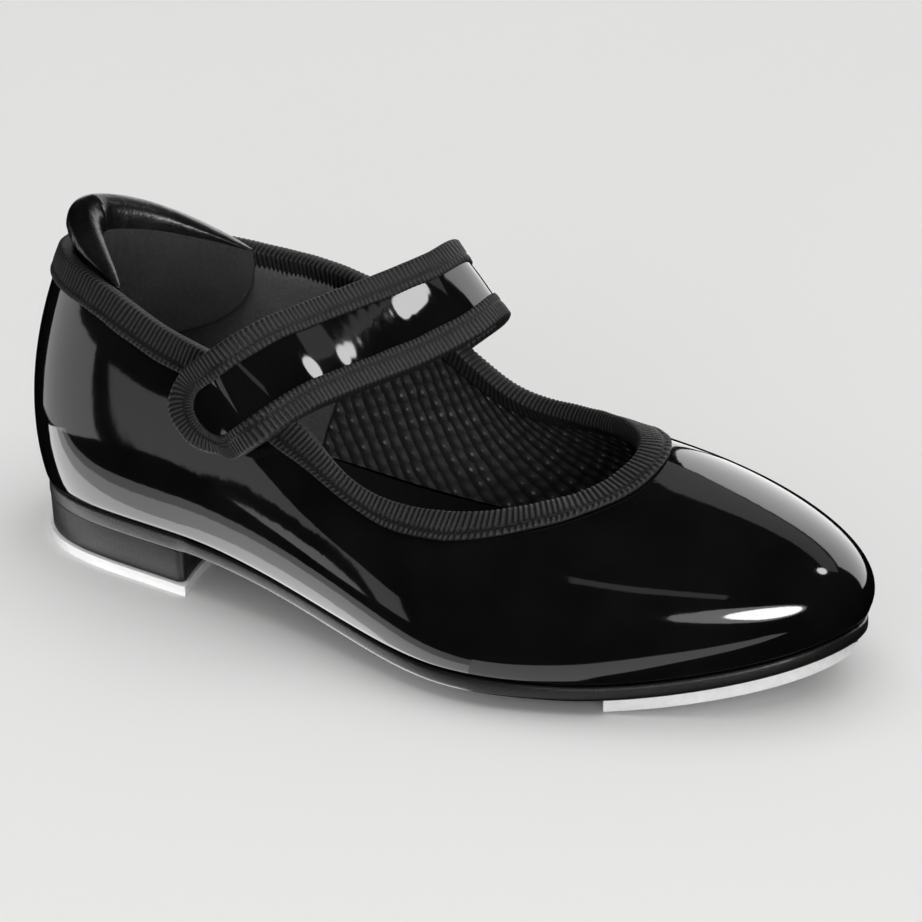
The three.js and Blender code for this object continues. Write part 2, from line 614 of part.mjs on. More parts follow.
// frame of the strap at a distance from its free end: along, across (to the toe) and outward
function strapFrame(s) {
  const u = spine.getUtoTmapping(Math.min(1, Math.max(0, s / STRAP_LENGTH)));
  const centre = spine.getPoint(u);
  const along = spine.getPoint(Math.min(1, u + 0.01)).sub(spine.getPoint(Math.max(0, u - 0.01))).normalize();
  const raw = breadth.getPoint(u);
  const across = raw.addScaledVector(along, -raw.dot(along)).normalize();
  const outward = across.clone().cross(along).normalize();
  return { centre, along, across, outward };
}
function strapPoint(s, q, n) {
  const f = strapFrame(s);
  return f.centre.clone().addScaledVector(f.across, q).addScaledVector(f.outward, n);
}

const HALF = STRAP_WIDTH / 2;
const TAPER_FROM = 55;
const HINGE_S = STRAP_LENGTH - HINGE_FROM_END;
const STRAP_STEPS = 26;
const EDGE_CLEAR = RIBBON + GAP;  // layers stop inside the fold of the ribbon
const halfAt = (s) =>
  HALF - (STRAP_WIDTH - STRAP_ROOT_WIDTH) / 2 * smooth((s - TAPER_FROM) / (HINGE_S - TAPER_FROM));

// half-width of a strap layer at a distance from the free end, whose corners are round
function layerHalf(s, clear) {
  const radius = HALF - clear;
  const d = s - clear;
  return d >= radius - 0.01 ? halfAt(s) - clear : Math.sqrt(Math.max(0.6, radius * radius - (radius - d) ** 2));
}

// rows shared by every layer, so that neighbouring layers bend in step
const straightRows = (end) =>
  Array.from({ length: STRAP_STEPS + 1 }, (_, i) => HALF + (end - HALF) * i / STRAP_STEPS);

function strapRows(from, end) {
  const radius = HALF - from;
  const bend = Array.from({ length: 6 }, (_, i) => from + 0.1 + radius * (1 - Math.cos((i / 6) * Math.PI / 2)));
  return [...bend, ...straightRows(end)];
}

function strapSheet(high, low, clear, end) {
  const columns = [-1, 0, 1];
  return sweepStrips(strapRows(clear, end).map((s) => {
    const half = layerHalf(s, clear);
    return {
      front: columns.map((c) => strapPoint(s, c * half, high)),
      back: columns.map((c) => strapPoint(s, c * half, low)),
    };
  }), false);
}

add('strap_face', strapSheet(0, FACE_LOW, EDGE_CLEAR, HINGE_S - 0.4), BLACK_PATENT, 0.08);
add('strap_lining', strapSheet(SLIP_HIGH, SLIP_LOW, EDGE_CLEAR, HINGE_S - 0.4), CHARCOAL, 0.9);

// path of the strap's edge in its own plane, with the direction that points out of it
function edgePath(end) {
  const path = [];
  const rows = straightRows(end);
  [...rows].reverse().forEach((s) => path.push({ s, q: -halfAt(s), ds: 0, dq: -1 }));
  for (let i = 1; i < 12; i += 1) {
    const angle = -Math.PI / 2 - Math.PI * i / 12;
    const ds = Math.cos(angle);
    const dq = Math.sin(angle);
    path.push({ s: HALF + HALF * ds, q: HALF * dq, ds, dq });
  }
  rows.forEach((s) => path.push({ s, q: halfAt(s), ds: 0, dq: 1 }));
  return path;
}

const strapBinding = sweepStrips(edgePath(HINGE_S - 0.4).map(({ s, q, ds, dq }) => {
  const at = (inward, n) => strapPoint(s - ds * inward, q - dq * inward, n);
  return {
    front: [at(RIBBON_LEG, GAP + RIBBON), at(RIBBON_LEG / 2, GAP + RIBBON), at(0.3, GAP + RIBBON),
      at(0, GAP), at(0, UNDER_HIGH), at(0.3, UNDER_LOW), at(RIBBON_LEG / 2, UNDER_LOW), at(RIBBON_LEG, UNDER_LOW)],
    back: [at(RIBBON_LEG, GAP), at(RIBBON_LEG / 2, GAP), at(RIBBON + 0.1, GAP), at(RIBBON, GAP - 0.1),
      at(RIBBON, UNDER_HIGH + 0.1), at(RIBBON + 0.1, UNDER_HIGH), at(RIBBON_LEG / 2, UNDER_HIGH),
      at(RIBBON_LEG, UNDER_HIGH)],
  };
}), false);
add('strap_binding', strapBinding, RIBBON_BLACK, 0.85);

function strapPatch(high, low) {
  const start = HALF - 1.5;
  const columns = [-1, 0, 1];
  const steps = Array.from({ length: 8 }, (_, i) => start + PATCH_LENGTH * i / 7);
  return sweepStrips(steps.map((s) => ({
    front: columns.map((c) => strapPoint(s, c * PATCH_WIDTH / 2, high)),
    back: columns.map((c) => strapPoint(s, c * PATCH_WIDTH / 2, low)),
  })), false);
}
add('hook_patch', strapPatch(UNDER_HIGH, HOOK_LOW), RIBBON_BLACK, 0.9);
add('loop_patch', strapPatch(LOOP_HIGH, LOOP_LOW), RIBBON_BLACK, 0.95);

const rootSteps = Array.from({ length: 7 }, (_, i) => HINGE_S + 0.4 + (HINGE_FROM_END - 0.4) * i / 6);
add('strap_root', sweepStrips(rootSteps.map((s) => ({
  front: [-1, 0, 1].map((c) => strapPoint(s, c * halfAt(s), GAP + RIBBON)),
  back: [-1, 0, 1].map((c) => strapPoint(s, c * halfAt(s), UNDER_LOW)),
})), false), BLACK_PATENT, 0.1);

// ---- origin: on the ground, under the middle of the shoe -----------------------------------------------------
const bounds = new THREE.Box3().setFromObject(shoe);
const middle = bounds.getCenter(new THREE.Vector3());
shoe.position.set(-middle.x, -middle.y, -bounds.min.z);

const tapShoe = new THREE.Group();
tapShoe.add(shoe);

export default tapShoe;
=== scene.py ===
"""Child's Mary-Jane tap shoe: black patent, ribbed ribbon, padded collar, metal taps."""
import math

import bmesh
import bpy
import numpy as np
from mathutils import Matrix, Vector


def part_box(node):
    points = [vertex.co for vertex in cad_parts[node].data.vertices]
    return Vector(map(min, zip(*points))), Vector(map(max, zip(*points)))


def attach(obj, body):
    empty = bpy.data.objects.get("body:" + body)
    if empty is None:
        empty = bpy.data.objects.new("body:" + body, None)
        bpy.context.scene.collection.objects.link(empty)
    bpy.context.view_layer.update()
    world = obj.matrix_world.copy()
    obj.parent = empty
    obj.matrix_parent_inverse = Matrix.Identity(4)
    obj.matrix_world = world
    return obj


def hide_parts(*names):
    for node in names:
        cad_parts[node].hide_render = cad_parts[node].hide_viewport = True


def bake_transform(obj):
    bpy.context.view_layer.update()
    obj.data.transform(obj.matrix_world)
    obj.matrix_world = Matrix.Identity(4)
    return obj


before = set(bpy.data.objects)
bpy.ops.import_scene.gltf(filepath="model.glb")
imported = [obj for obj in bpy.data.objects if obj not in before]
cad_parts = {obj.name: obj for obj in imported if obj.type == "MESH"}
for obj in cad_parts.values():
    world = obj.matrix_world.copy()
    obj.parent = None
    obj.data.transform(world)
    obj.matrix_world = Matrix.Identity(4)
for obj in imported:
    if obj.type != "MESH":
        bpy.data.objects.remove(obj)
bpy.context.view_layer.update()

bpy.ops.object.select_all(action="DESELECT")

MM = 0.001
GAP = 0.3
PATENT = 1.1
STIFFENER = 0.8
LINING = 0.8
RIBBON = 0.6
RIBBON_LEG = 6.0
WALL_STACK = PATENT + GAP + LINING
SOLE_THICKNESS = 3.2
BALL_Z = 3.3
HEEL_Z = 10.2
TOE_SPRING = 9.5
WAIST = (-50.0, 28.0)
SPRING_FROM = 52.0
CORNER_RISE = 1.9
SOCK_LOW = 3.6
SOCK_HIGH = 5.2
RIB_PITCH = 1.16

# the shoe's own origin, from a screw whose place on the sole is known
SCREW_PLACE = Vector((-60, -17, 0))
screw_low, screw_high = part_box("heel_tap_screw_1")
SHIFT = (screw_low + screw_high) / 2 / MM - SCREW_PLACE
SHIFT.z = 0


# ---- the last: the same stations and curves as the solid model, in millimetres ------------------
# feather edge x y | lower bulge out, up | tangent at the rim dx dy dz | rim x y z over the seat
STATIONS = [
    (-99, 0, 4.8, 17, -6.5, 0, -15, -93.5, 0, 52),
    (-91, -16.5, 4.4, 17, -4.5, -3, -15, -86, -12.5, 51.5),
    (-74, -24.2, 3.5, 16, -2, -4.5, -14, -71, -18.5, 49),
    (-48, -27.5, 3, 15, 1, -5, -13, -55, -21, 44),
    (-20, -32.4, 3, 13, 4, -4, -14, -36, -24.5, 40.5),
    (7, -39, 3.5, 11, 7, -5, -11, -14.5, -27.6, 31.3),
    (34, -42, 3.5, 10, 12, -6, -7, 3, -31, 23.3),
    (60, -32.5, 4, 10, 15, -5, -4, 24, -30, 22.8),
    (80, -21.3, 5, 10, 21, -4, -2, 38, -21.5, 24.8),
    (94.5, -9.3, 5.4, 11.5, 30, 0, -1, 46, -11, 26.8),
    (99.6, 7.2, 5.2, 12.5, 34, 3, -2.5, 48.5, 1, 30),
    (89.3, 22.5, 5.4, 12, 28, 9, -2.5, 44, 10, 31),
    (66, 31.7, 4.5, 10.5, 17, 9, -5, 34, 18, 29.5),
    (38, 34, 4, 11, 9, 8, -8, 20, 24, 27),
    (10, 30, 4, 12, 3, 5, -11, 4, 26, 27.5),
    (-18, 23.5, 5, 13, -2, 3, -13, -12, 26.5, 35.5),
    (-48, 23, 4.5, 15, -4, 3, -14, -34, 24.5, 46),
    (-74, 24, 4, 16, -4, 3, -14, -60, 23.5, 48.5),
    (-92, 17, 4, 17, -4, 3.5, -15, -82, 15.5, 51),
]
LOOP = len(STATIONS)


def periodic_spline(rows):
    rows = np.array(rows, float)
    count = len(rows)
    blend = np.eye(count) * 4 + np.roll(np.eye(count), 1, 0) + np.roll(np.eye(count), -1, 0)
    coef = np.linalg.solve(blend / 6, rows)

    def at(t):
        t = np.asarray(t, float) % count
        i = np.floor(t).astype(int)
        f = (t - i)[..., None]
        weights = ((1 - f) ** 3, 3 * f**3 - 6 * f * f + 4, -3 * f**3 + 3 * f * f + 3 * f + 1, f**3)
        return sum(w / 6 * coef[(i + k - 1) % count] for k, w in enumerate(weights))

    return at


last = periodic_spline(STATIONS)


def smooth(u):
    c = np.clip(u, 0, 1)
    return c * c * (3 - 2 * c)


def sole_bottom(x):
    fall = 1 - smooth((x - WAIST[0]) / (WAIST[1] - WAIST[0]))
    run = np.maximum(0, (x - SPRING_FROM) / (100 - SPRING_FROM))
    return BALL_Z + (HEEL_Z - BALL_Z) * fall + TOE_SPRING * run**1.75


def sole_top(x):
    return sole_bottom(x) + SOLE_THICKNESS


SEAT_Z = float(sole_top(-100.0))


def unit(v):
    return v / np.linalg.norm(v, axis=-1, keepdims=True)


def feather(t, inset=0.0):
    tangent = unit(last(t + 0.01)[..., :2] - last(t - 0.01)[..., :2])
    out = np.stack([tangent[..., 1], -tangent[..., 0]], -1)
    return last(t)[..., :2] - out * np.asarray(inset)[..., None], out


CURVE = np.linspace(0, 1, 65)


def wall_curves(t):
    """the wall's outer curve at each station, rim first, and its running length"""
    s = last(t)
    point, out = feather(t)
    start = np.concatenate([point, (sole_top(point[:, 0]) + CORNER_RISE)[:, None]], 1)
    low = start + np.concatenate([out * s[:, 2:3], s[:, 3:4]], 1)
    rim = np.stack([s[:, 7], s[:, 8], SEAT_Z + s[:, 9]], 1)
    high = rim + s[:, 4:7]
    u = CURVE[None, :, None]
    points = (
        (1 - u) ** 3 * rim[:, None]
        + 3 * u * (1 - u) ** 2 * high[:, None]
        + 3 * u * u * (1 - u) * low[:, None]
        + u**3 * start[:, None]
    )
    steps = np.linalg.norm(np.diff(points, axis=1), axis=2)
    along = np.concatenate([np.zeros((len(s), 1)), np.cumsum(steps, 1)], 1)
    return points, along


def wall_points(t, down):
    points, along = wall_curves(t)
    result = np.empty(down.shape + (3,))
    for i in range(len(t)):
        for axis in range(3):
            result[i, :, axis] = np.interp(down[i], along[i], points[i, :, axis])
    tip = unit(points[:, 0] - points[:, 1])
    return result + tip[:, None] * np.maximum(0, -down)[..., None]


def wall_length(t):
    return wall_curves(t)[1][:, -1]


def wall_normals(t, down):
    length = wall_length(t)[:, None]
    d = np.clip(down, 0.6, length - 0.6)
    share = d / length
    ahead = wall_points(t + 0.02, share * wall_length(t + 0.02)[:, None])
    behind = wall_points(t - 0.02, share * wall_length(t - 0.02)[:, None])
    rise = wall_points(t, d - 0.5) - wall_points(t, d + 0.5)
    return unit(np.cross(ahead - behind, rise))


def on_wall(t, down, off):
    """points off millimetres outside the wall; down and off are (stations, rows)"""
    t = np.atleast_1d(np.asarray(t, float))
    down = np.broadcast_to(np.asarray(down, float), (len(t), np.shape(down)[-1])).copy()
    off = np.broadcast_to(np.asarray(off, float), down.shape)
    return wall_points(t, down) + wall_normals(t, down) * off[..., None]


def one_on_wall(t, down, off):
    return on_wall([t], [down], [off])[0, 0]


# ---- meshes -------------------------------------------------------------------------------------
def wobble(seed, *lengths):
    """a smooth random function of one or two lengths, about -1 to 1; lengths are its wave lengths"""
    rng = np.random.default_rng(seed)
    waves = []
    for wave in lengths:
        for _ in range(3):
            rate = 2 * math.pi / (wave * rng.uniform(0.8, 1.3))
            waves.append((rate, rng.uniform(-0.5, 0.5), rng.uniform(0, 6.28)))

    def at(a, b=0.0):
        total = sum(np.sin(rate * (a + tilt * b) + phase) for rate, tilt, phase in waves)
        return total / (1.6 * math.sqrt(len(waves)))

    return at


def new_object(name, vertices, faces, angle=40, **marks):
    """a mesh object; marks are numbers or triples kept on its vertices for the materials"""
    mesh = bpy.data.meshes.new(name)
    placed = (np.asarray(vertices) + np.array(SHIFT)) * MM
    mesh.from_pydata(placed.tolist(), [], faces)
    for mark, values in marks.items():
        values = np.asarray(values, np.float32)
        kind, key = ("FLOAT", "value") if values.ndim == 1 else ("FLOAT_VECTOR", "vector")
        mesh.attributes.new(mark, kind, "POINT").data.foreach_set(key, values.ravel())
    piece = bpy.data.objects.new(name, mesh)
    bpy.context.scene.collection.objects.link(piece)
    tidy(piece, angle)
    return piece


def tidy(piece, angle):
    bm = bmesh.new()
    bm.from_mesh(piece.data)
    bmesh.ops.remove_doubles(bm, verts=bm.verts, dist=2e-6)
    bmesh.ops.recalc_face_normals(bm, faces=bm.faces)
    bm.to_mesh(piece.data)
    bm.free()
    piece.data.shade_smooth()
    piece.data.set_sharp_from_angle(angle=math.radians(angle))


def ring_faces(rings, size, closed):
    faces = []
    spans = rings if closed else rings - 1
    for i in range(spans):
        a = i * size
        b = (i + 1) % rings * size
        for k in range(size):
            n = (k + 1) % size
            faces.append((a + k, b + k, b + n, a + n))
    if not closed:
        faces.append(tuple(range(size)))
        faces.append(tuple(range((rings - 1) * size, rings * size)))
    return faces


def sweep(name, rings, closed, angle=40, **marks):
    """rings is (sections, points round each section, 3)"""
    count, size = rings.shape[:2]
    flat = {mark: values.reshape((count * size,) + values.shape[2:]) for mark, values in marks.items()}
    return new_object(name, rings.reshape(-1, 3), ring_faces(count, size, closed), angle, **flat)


def finish(piece, material, slot, body, *nodes):
    piece.data.materials.clear()
    piece.data.materials.append(material)
    if nodes:
        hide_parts(*nodes)
    if body:
        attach(piece, body)
    return piece


# ---- materials ----------------------------------------------------------------------------------
class Value:
    """a node socket that takes part in arithmetic"""

    def __init__(self, tree, socket):
        self.tree = tree
        self.socket = socket

    def node(self, kind, settings=None, inputs=None, out=0):
        made = self.tree.nodes.new(kind)
        for key, setting in (settings or {}).items():
            if key == "stops":
                set_stops(made.color_ramp, setting)
            else:
                setattr(made, key, setting)
        for key, value in (inputs or {}).items():
            if isinstance(value, Value):
                self.tree.links.new(value.socket, made.inputs[key])
            else:
                made.inputs[key].default_value = value
        return Value(self.tree, made.outputs[out])

    def math(self, operation, first, second=0.0, third=0.0):
        inputs = {0: first, 1: second, 2: third}
        return self.node("ShaderNodeMath", {"operation": operation}, inputs)

    def __add__(self, other):
        return self.math("ADD", self, other)

    def __radd__(self, other):
        return self.math("ADD", other, self)

    def __sub__(self, other):
        return self.math("SUBTRACT", self, other)

    def __rsub__(self, other):
        return self.math("SUBTRACT", other, self)

    def __mul__(self, other):
        return self.math("MULTIPLY", self, other)

    def __rmul__(self, other):
        return self.math("MULTIPLY", other, self)

    def ramp(self, low, high):
        return self.node("ShaderNodeMapRange", {"clamp": True}, {0: self, 1: low, 2: high, 3: 0.0, 4: 1.0})


def set_stops(ramp, stops):
    while len(ramp.elements) < len(stops):
        ramp.elements.new(0.5)
    for element, (place, colour) in zip(ramp.elements, stops):
        element.position = place
        element.color = colour


def grey(value):
    return (value, value, value, 1)


class Finish:
    """one material: its shader, its coordinates and the parts that are used again and again"""

    def __init__(self, name, **constants):
        self.material = bpy.data.materials.new(name)
        self.material.use_nodes = True
        tree = self.material.node_tree
        self.shader = tree.nodes["Principled BSDF"]
        self.tree = tree
        for key, value in constants.items():
            self.shader.inputs[key.replace("_", " ")].default_value = value
        coordinates = tree.nodes.new("ShaderNodeTexCoord")
        self.place = Value(tree, coordinates.outputs["Object"])

    def noise(self, scale, detail=3.0, rough=0.5, place=None):
        inputs = {"Vector": place or self.place, "Scale": scale, "Detail": detail, "Roughness": rough}
        return self.place.node("ShaderNodeTexNoise", None, inputs)

    def cells(self, scale, feature="F1", place=None):
        inputs = {"Vector": place or self.place, "Scale": scale}
        return self.place.node("ShaderNodeTexVoronoi", {"feature": feature}, inputs)

    def mark(self, name, out=2):
        return self.place.node("ShaderNodeAttribute", {"attribute_name": name}, None, out)

    def mix(self, factor, first, second):
        inputs = {0: factor, 6: first, 7: second}
        return self.place.node("ShaderNodeMix", {"data_type": "RGBA"}, inputs, 2)

    def stretched(self, x, y, z):
        inputs = {"Vector": self.place, "Scale": (x, y, z)}
        return self.place.node("ShaderNodeMapping", None, inputs)

    def use(self, socket, value):
        self.tree.links.new(value.socket, self.shader.inputs[socket])

    def bump(self, height, distance, strength=1.0):
        inputs = {"Strength": strength, "Distance": distance, "Height": height}
        self.use("Normal", self.place.node("ShaderNodeBump", None, inputs))


def patent_leather(name, waves=0.0012):
    f = Finish(name, Specular_IOR_Level=0.5, Coat_Weight=0.0)
    swell = 1.6 * f.noise(18, 0.4)
    ripple = f.noise(95, 2.0)
    peel = f.noise(520, 2.0)
    f.use("Base Color", f.mix(f.noise(60).ramp(0.35, 0.7), grey(0.0028), (0.005, 0.005, 0.0056, 1)))
    smear = f.noise(25, 4.0).ramp(0.4, 0.75)
    dust = f.noise(900).ramp(0.5, 0.8)
    f.use("Roughness", 0.035 + 0.05 * smear + 0.02 * dust)
    f.bump(swell + 0.03 * ripple + 0.004 * peel, waves)
    return f.material


def ribbon_cloth():
    f = Finish("grosgrain_ribbon", Specular_IOR_Level=0.4)
    thread = f.noise(2600, 2.0)
    patch = f.noise(160, 3.0)
    rib = f.mark("rib")
    # the rib height lightens the colour on the crests and darkens it in the grooves: painted highlight and
    # painted shade between the ribs
    rib_painted_light_and_shade = rib.ramp(0.45, 1.0) * (0.55 + 0.6 * thread) * (0.6 + 0.6 * patch)
    f.use("Base Color", f.mix(rib_painted_light_and_shade.ramp(0.0, 1.0), grey(0.0022), (0.03, 0.03, 0.032, 1)))
    f.use("Roughness", 0.5 + 0.3 * thread)
    f.bump(thread, 0.00016)
    return f.material


# lift scales the cloth's colour, so one cloth comes in lit and shaded copies: above 1 it is painted light
# against the shade inside the shoe, below 1 it is painted shade
def lining_cloth(name, lift):
    f = Finish(name, Specular_IOR_Level=0.15, Sheen_Weight=0.1, Sheen_Roughness=0.6)
    nap = f.noise(1500, 4.0, 0.7)
    cloud = f.noise(55, 3.0)
    shade = (0.5 * nap + 0.5 * cloud).ramp(0.3, 0.7)
    f.use("Base Color", f.mix(shade, grey(0.036 * lift), grey(0.088 * lift)))
    f.use("Roughness", 0.85 + 0.12 * nap)
    f.bump(nap + 0.5 * cloud, 0.0003)
    return f.material


DOT_PITCH = 2.9


def dotted_cloth():
    """vamp lining: a quilted weave with a shiny point in the middle of each cell; the bright colour of the
    points is a painted glint and the darker cell edges are painted shade
    """
    f = Finish("dotted_vamp_lining", Specular_IOR_Level=0.45)
    weave = f.noise(1900, 3.0, 0.7)
    inputs = {"Vector": f.mark("cloth", 1), "Rotation": (0, 0, math.radians(45))}
    turned = f.place.node("ShaderNodeMapping", None, inputs)
    inputs = {"Vector": turned, "Scale": 1.0 / DOT_PITCH, "Randomness": 0.22}
    cell = f.place.node("ShaderNodeTexVoronoi", {"feature": "F1"}, inputs)
    # each point is a painted glint: its colour is made bright, and a noise shows it on some cells only; its
    # lower roughness is real shine
    shiny_dot_and_painted_glint = 1 - cell.ramp(0.06, 0.17)
    swell = 1 - cell.ramp(0.1, 0.68)
    # colour darker towards the cell edges: painted shade in the hollows between the quilted cells
    base = f.mix(swell * (0.5 + 0.5 * weave), grey(0.0035), (0.034, 0.034, 0.037, 1))
    f.use("Base Color", f.mix(shiny_dot_and_painted_glint * f.noise(170).ramp(0.36, 0.6), base, (0.34, 0.34, 0.36, 1)))
    f.use("Roughness", 0.62 - 0.3 * shiny_dot_and_painted_glint + 0.2 * weave)
    f.bump(swell + 0.3 * weave, 0.0007)
    return f.material


def collar_leather():
    f = Finish("soft_collar_leather", Specular_IOR_Level=0.3)
    grain = f.cells(1300)
    crease = f.noise(90, 3.0, 0.6, f.stretched(1, 1, 0.35))
    f.use("Base Color", f.mix(crease.ramp(0.35, 0.7), grey(0.003), grey(0.008)))
    f.use("Roughness", 0.2 + 0.14 * crease + 0.06 * grain)
    f.bump(crease + 0.06 * grain, 0.0005)
    return f.material


def sole_stock(name, base, rough, shine):
    f = Finish(name, Specular_IOR_Level=shine)
    speck = f.noise(1700, 4.0, 0.7)
    drag = f.noise(120, 3.0, 0.5, f.stretched(0.4, 0.4, 3))
    f.use("Base Color", f.mix((0.5 * speck + 0.5 * drag).ramp(0.35, 0.7), grey(base), grey(base * 2.3)))
    f.use("Roughness", rough + 0.15 * drag + 0.08 * speck)
    f.bump(speck + 0.6 * drag, 0.00010)
    return f.material


def ground_metal(name, tone, rough, scratch_scale, metal):
    f = Finish(name, Metallic=metal)
    scratch = f.noise(scratch_scale, 5.0, 0.7, f.stretched(0.12, 1, 0.6))
    cloud = f.noise(70, 4.0)
    pits = f.noise(2200, 2.0)
    worn = (0.5 * scratch + 0.5 * cloud).ramp(0.3, 0.7)
    f.use("Base Color", f.mix(worn, grey(tone * 0.78), grey(tone)))
    f.use("Roughness", rough + 0.18 * scratch + 0.1 * cloud)
    f.bump(scratch + 0.5 * pits, 0.00006)
    return f.material


def plain_fibre(name, dark, light, scale):
    f = Finish(name, Specular_IOR_Level=0.2)
    fibre = f.noise(scale, 5.0, 0.7, f.stretched(0.4, 1, 1))
    f.use("Base Color", f.mix(fibre.ramp(0.3, 0.7), dark, light))
    f.use("Roughness", 0.8 + 0.15 * fibre)
    f.bump(fibre, 0.0002)
    return f.material


PATENT_BLACK = patent_leather("black_patent")
STRAP_PATENT = patent_leather("creased_strap_patent", 0.00022)
RIBBON_BLACK = ribbon_cloth()
# the same lining cloth twice: a brighter copy as painted light against the shade inside the shoe (also used
# under the strap), and a darker copy as painted shade on the collar's skirt
LINING_PAINTED_LIGHTER = lining_cloth("napped_lining_painted_lighter", 1.9)
COLLAR_CLOTH_PAINTED_DARKER = lining_cloth("napped_collar_cloth_painted_darker", 0.72)
DOTTED = dotted_cloth()
# a near-black sock: the cloth's own dark tone, darkened further as painted shade for the shadow inside the
# shoe
SOCK_PAINTED_SHADE = plain_fibre("sock_cloth_painted_shade", grey(0.002), grey(0.006), 1500)
COLLAR = collar_leather()
SOLE = sole_stock("black_sole", 0.005, 0.24, 0.3)
HEEL = sole_stock("satin_heel", 0.01, 0.3, 0.13)
TAP = ground_metal("tap_aluminium", 0.97, 0.45, 800, 0.08)
STEEL = ground_metal("plated_steel", 0.62, 0.25, 1200, 0.8)
BOARD = plain_fibre("fibre_board", (0.22, 0.14, 0.07, 1), (0.4, 0.28, 0.16, 1), 400)
HOOKS = plain_fibre("hook_and_loop", grey(0.006), grey(0.03), 2600)
THREAD = plain_fibre("black_thread", grey(0.012), grey(0.03), 3000)


# ---- upper and linings --------------------------------------------------------------------------
ROUND = 300
all_round = np.arange(ROUND) * LOOP / ROUND


def margin_points(t, insets, heights):
    columns = []
    for inset, height in zip(insets, heights):
        xy, _ = feather(t, np.full(len(t), inset))
        columns.append(np.concatenate([xy, (sole_top(xy[:, 0]) + height)[:, None]], 1))
    return np.stack(columns, 1)


def build_upper():
    t = all_round
    shares = np.linspace(0, 1, 44)
    down = shares[None, :] * wall_length(t)[:, None]
    outer = on_wall(t, down, np.zeros_like(down))
    turn = margin_points(t, (0.2, 0.6, 1.1, 1.9, 9.0), (1.25, 0.75, 0.45, GAP, GAP))
    inside = margin_points(t, (9.0, 2.4, 1.7), (GAP + PATENT, GAP + PATENT, 1.75))
    inner = on_wall(t, down[:, ::-2], np.full_like(down[:, ::-2], -PATENT))
    piece = sweep("upper_patent_shell", np.concatenate([outer, turn, inside, inner], 1), True)
    finish(piece, PATENT_BLACK, "patent_black", "shoe", "patent_upper")


def lining_back(t, down):
    back = np.minimum(t % LOOP, LOOP - t % LOOP)
    stiff = np.maximum(smooth((3.7 - back) / 0.9), smooth((2.8 - np.abs(t % LOOP - 10)) / 0.9))
    return PATENT + GAP + (STIFFENER + GAP) * stiff[:, None] * smooth(down / 5)


def build_lining(name, start, end, node, material):
    t = np.linspace(start + 0.01, end - 0.01, int(20 * (end - start)))
    share = np.linspace(0, 1, 30)[None, :]
    down = 0.3 + share * (wall_length(t)[:, None] - 1.9)
    depth = lining_back(t, down)
    front = on_wall(t, down, -depth)
    back = on_wall(t, down[:, ::-1], -depth[:, ::-1] - LINING)
    rings = np.concatenate([front, back], 1)
    middle = back[:, 15]
    run = np.concatenate([[0], np.cumsum(np.linalg.norm(np.diff(middle, axis=0), axis=1))])
    across = np.concatenate([down, down[:, ::-1]], 1)
    cloth = np.stack([np.broadcast_to(run[:, None], across.shape), across, 0 * across], -1)
    piece = sweep(name, rings, False, cloth=cloth)
    finish(piece, material, "lining_charcoal", "shoe", node)


LINING_SEAM_OUT = 3.8
LINING_SEAM_IN = 15.83
build_upper()
# the quarter lining takes the brighter copy of the cloth, painted light against the shade inside the shoe
build_lining("quarter_lining_cloth", LINING_SEAM_IN - LOOP, LINING_SEAM_OUT, "quarter_lining", LINING_PAINTED_LIGHTER)
build_lining("vamp_lining_cloth", LINING_SEAM_OUT, LINING_SEAM_IN, "vamp_lining", DOTTED)


# ---- flat pieces that follow the sole -----------------------------------------------------------
def outline(inset_at, count=260):
    """points round the sole with the outer and inner side at matching lengths, heel first"""
    t = np.linspace(0, LOOP, 3001)
    xy = feather(t)[0]
    x = feather(t, inset_at(xy[:, 0]))[0]
    rear = int(np.argmin(x[:, 0]))
    x = np.roll(x[:-1], -rear, 0)
    toe = int(np.argmax(x[:, 0]))
    outer, inner = x[: toe + 1], np.concatenate([x[toe:], x[:1]])[::-1]
    half = count // 2
    run = (1 - np.cos(np.linspace(0, math.pi, half + 1))) / 2
    place = x[0, 0] + (x[toe, 0] - x[0, 0]) * run
    low = np.interp(place, outer[:, 0], outer[:, 1])
    high = np.interp(place, inner[:, 0], inner[:, 1])
    ring = np.concatenate([np.stack([place, low], 1), np.stack([place, high], 1)[-2:0:-1]])
    spine = np.stack([place, (low + high) / 2], 1)
    return ring, np.concatenate([spine, spine[-2:0:-1]])


def plate(name, inset_at, low, high, edge, ease=lambda x: 1.0):
    """a layer between two heights; edge lists (inset, from the low face, from the high face)"""
    ring, spine = outline(inset_at)
    tangent = unit(np.roll(ring, -1, 0) - np.roll(ring, 1, 0))
    out = np.stack([tangent[:, 1], -tangent[:, 0]], 1)
    rings = []
    for inset, above_low, below_high in edge:
        eased = inset * ease(ring[:, :1]) if above_low is not None else inset
        xy = ring - out * eased
        z = low(xy[:, 0]) + above_low if above_low is not None else high(xy[:, 0]) - below_high
        rings.append(np.concatenate([xy, z[:, None]], 1))

    def towards_middle(first, level):
        xy0 = first[:, :2]
        for share in (0.06, 0.2, 0.45, 0.75, 1):
            xy = xy0 * (1 - share) + spine * share
            yield np.concatenate([xy, level(xy[:, 0])[:, None]], 1)

    bottom = list(towards_middle(rings[0], low))[::-1]
    top = list(towards_middle(rings[-1], high))
    stack = np.stack(bottom + rings + top)
    count, size = stack.shape[:2]
    faces = ring_faces(count, size, True)[: (count - 1) * size]
    return new_object(name, stack.reshape(-1, 3), faces)


OUTSOLE_EDGE = [(1.1, 0, None), (0.45, 0.12, None), (0.1, 0.5, None), (0, 1.0, None),
                (0, None, 0.75), (0.12, None, 0.3), (0.45, None, 0.0), (0.9, None, 0.0)]
SOCK_EDGE = [(0.5, 0, None), (0, 0.4, None), (0, None, 0.6), (0.3, None, 0.15), (1.0, None, 0.0)]


def over_heel(x):
    return smooth((-46.5 - x) / 2.5)


def outsole_inset(x):
    return 0.4 + 0.45 * over_heel(x) + 0.6 * np.exp(-(((x + 14) / 26) ** 2))


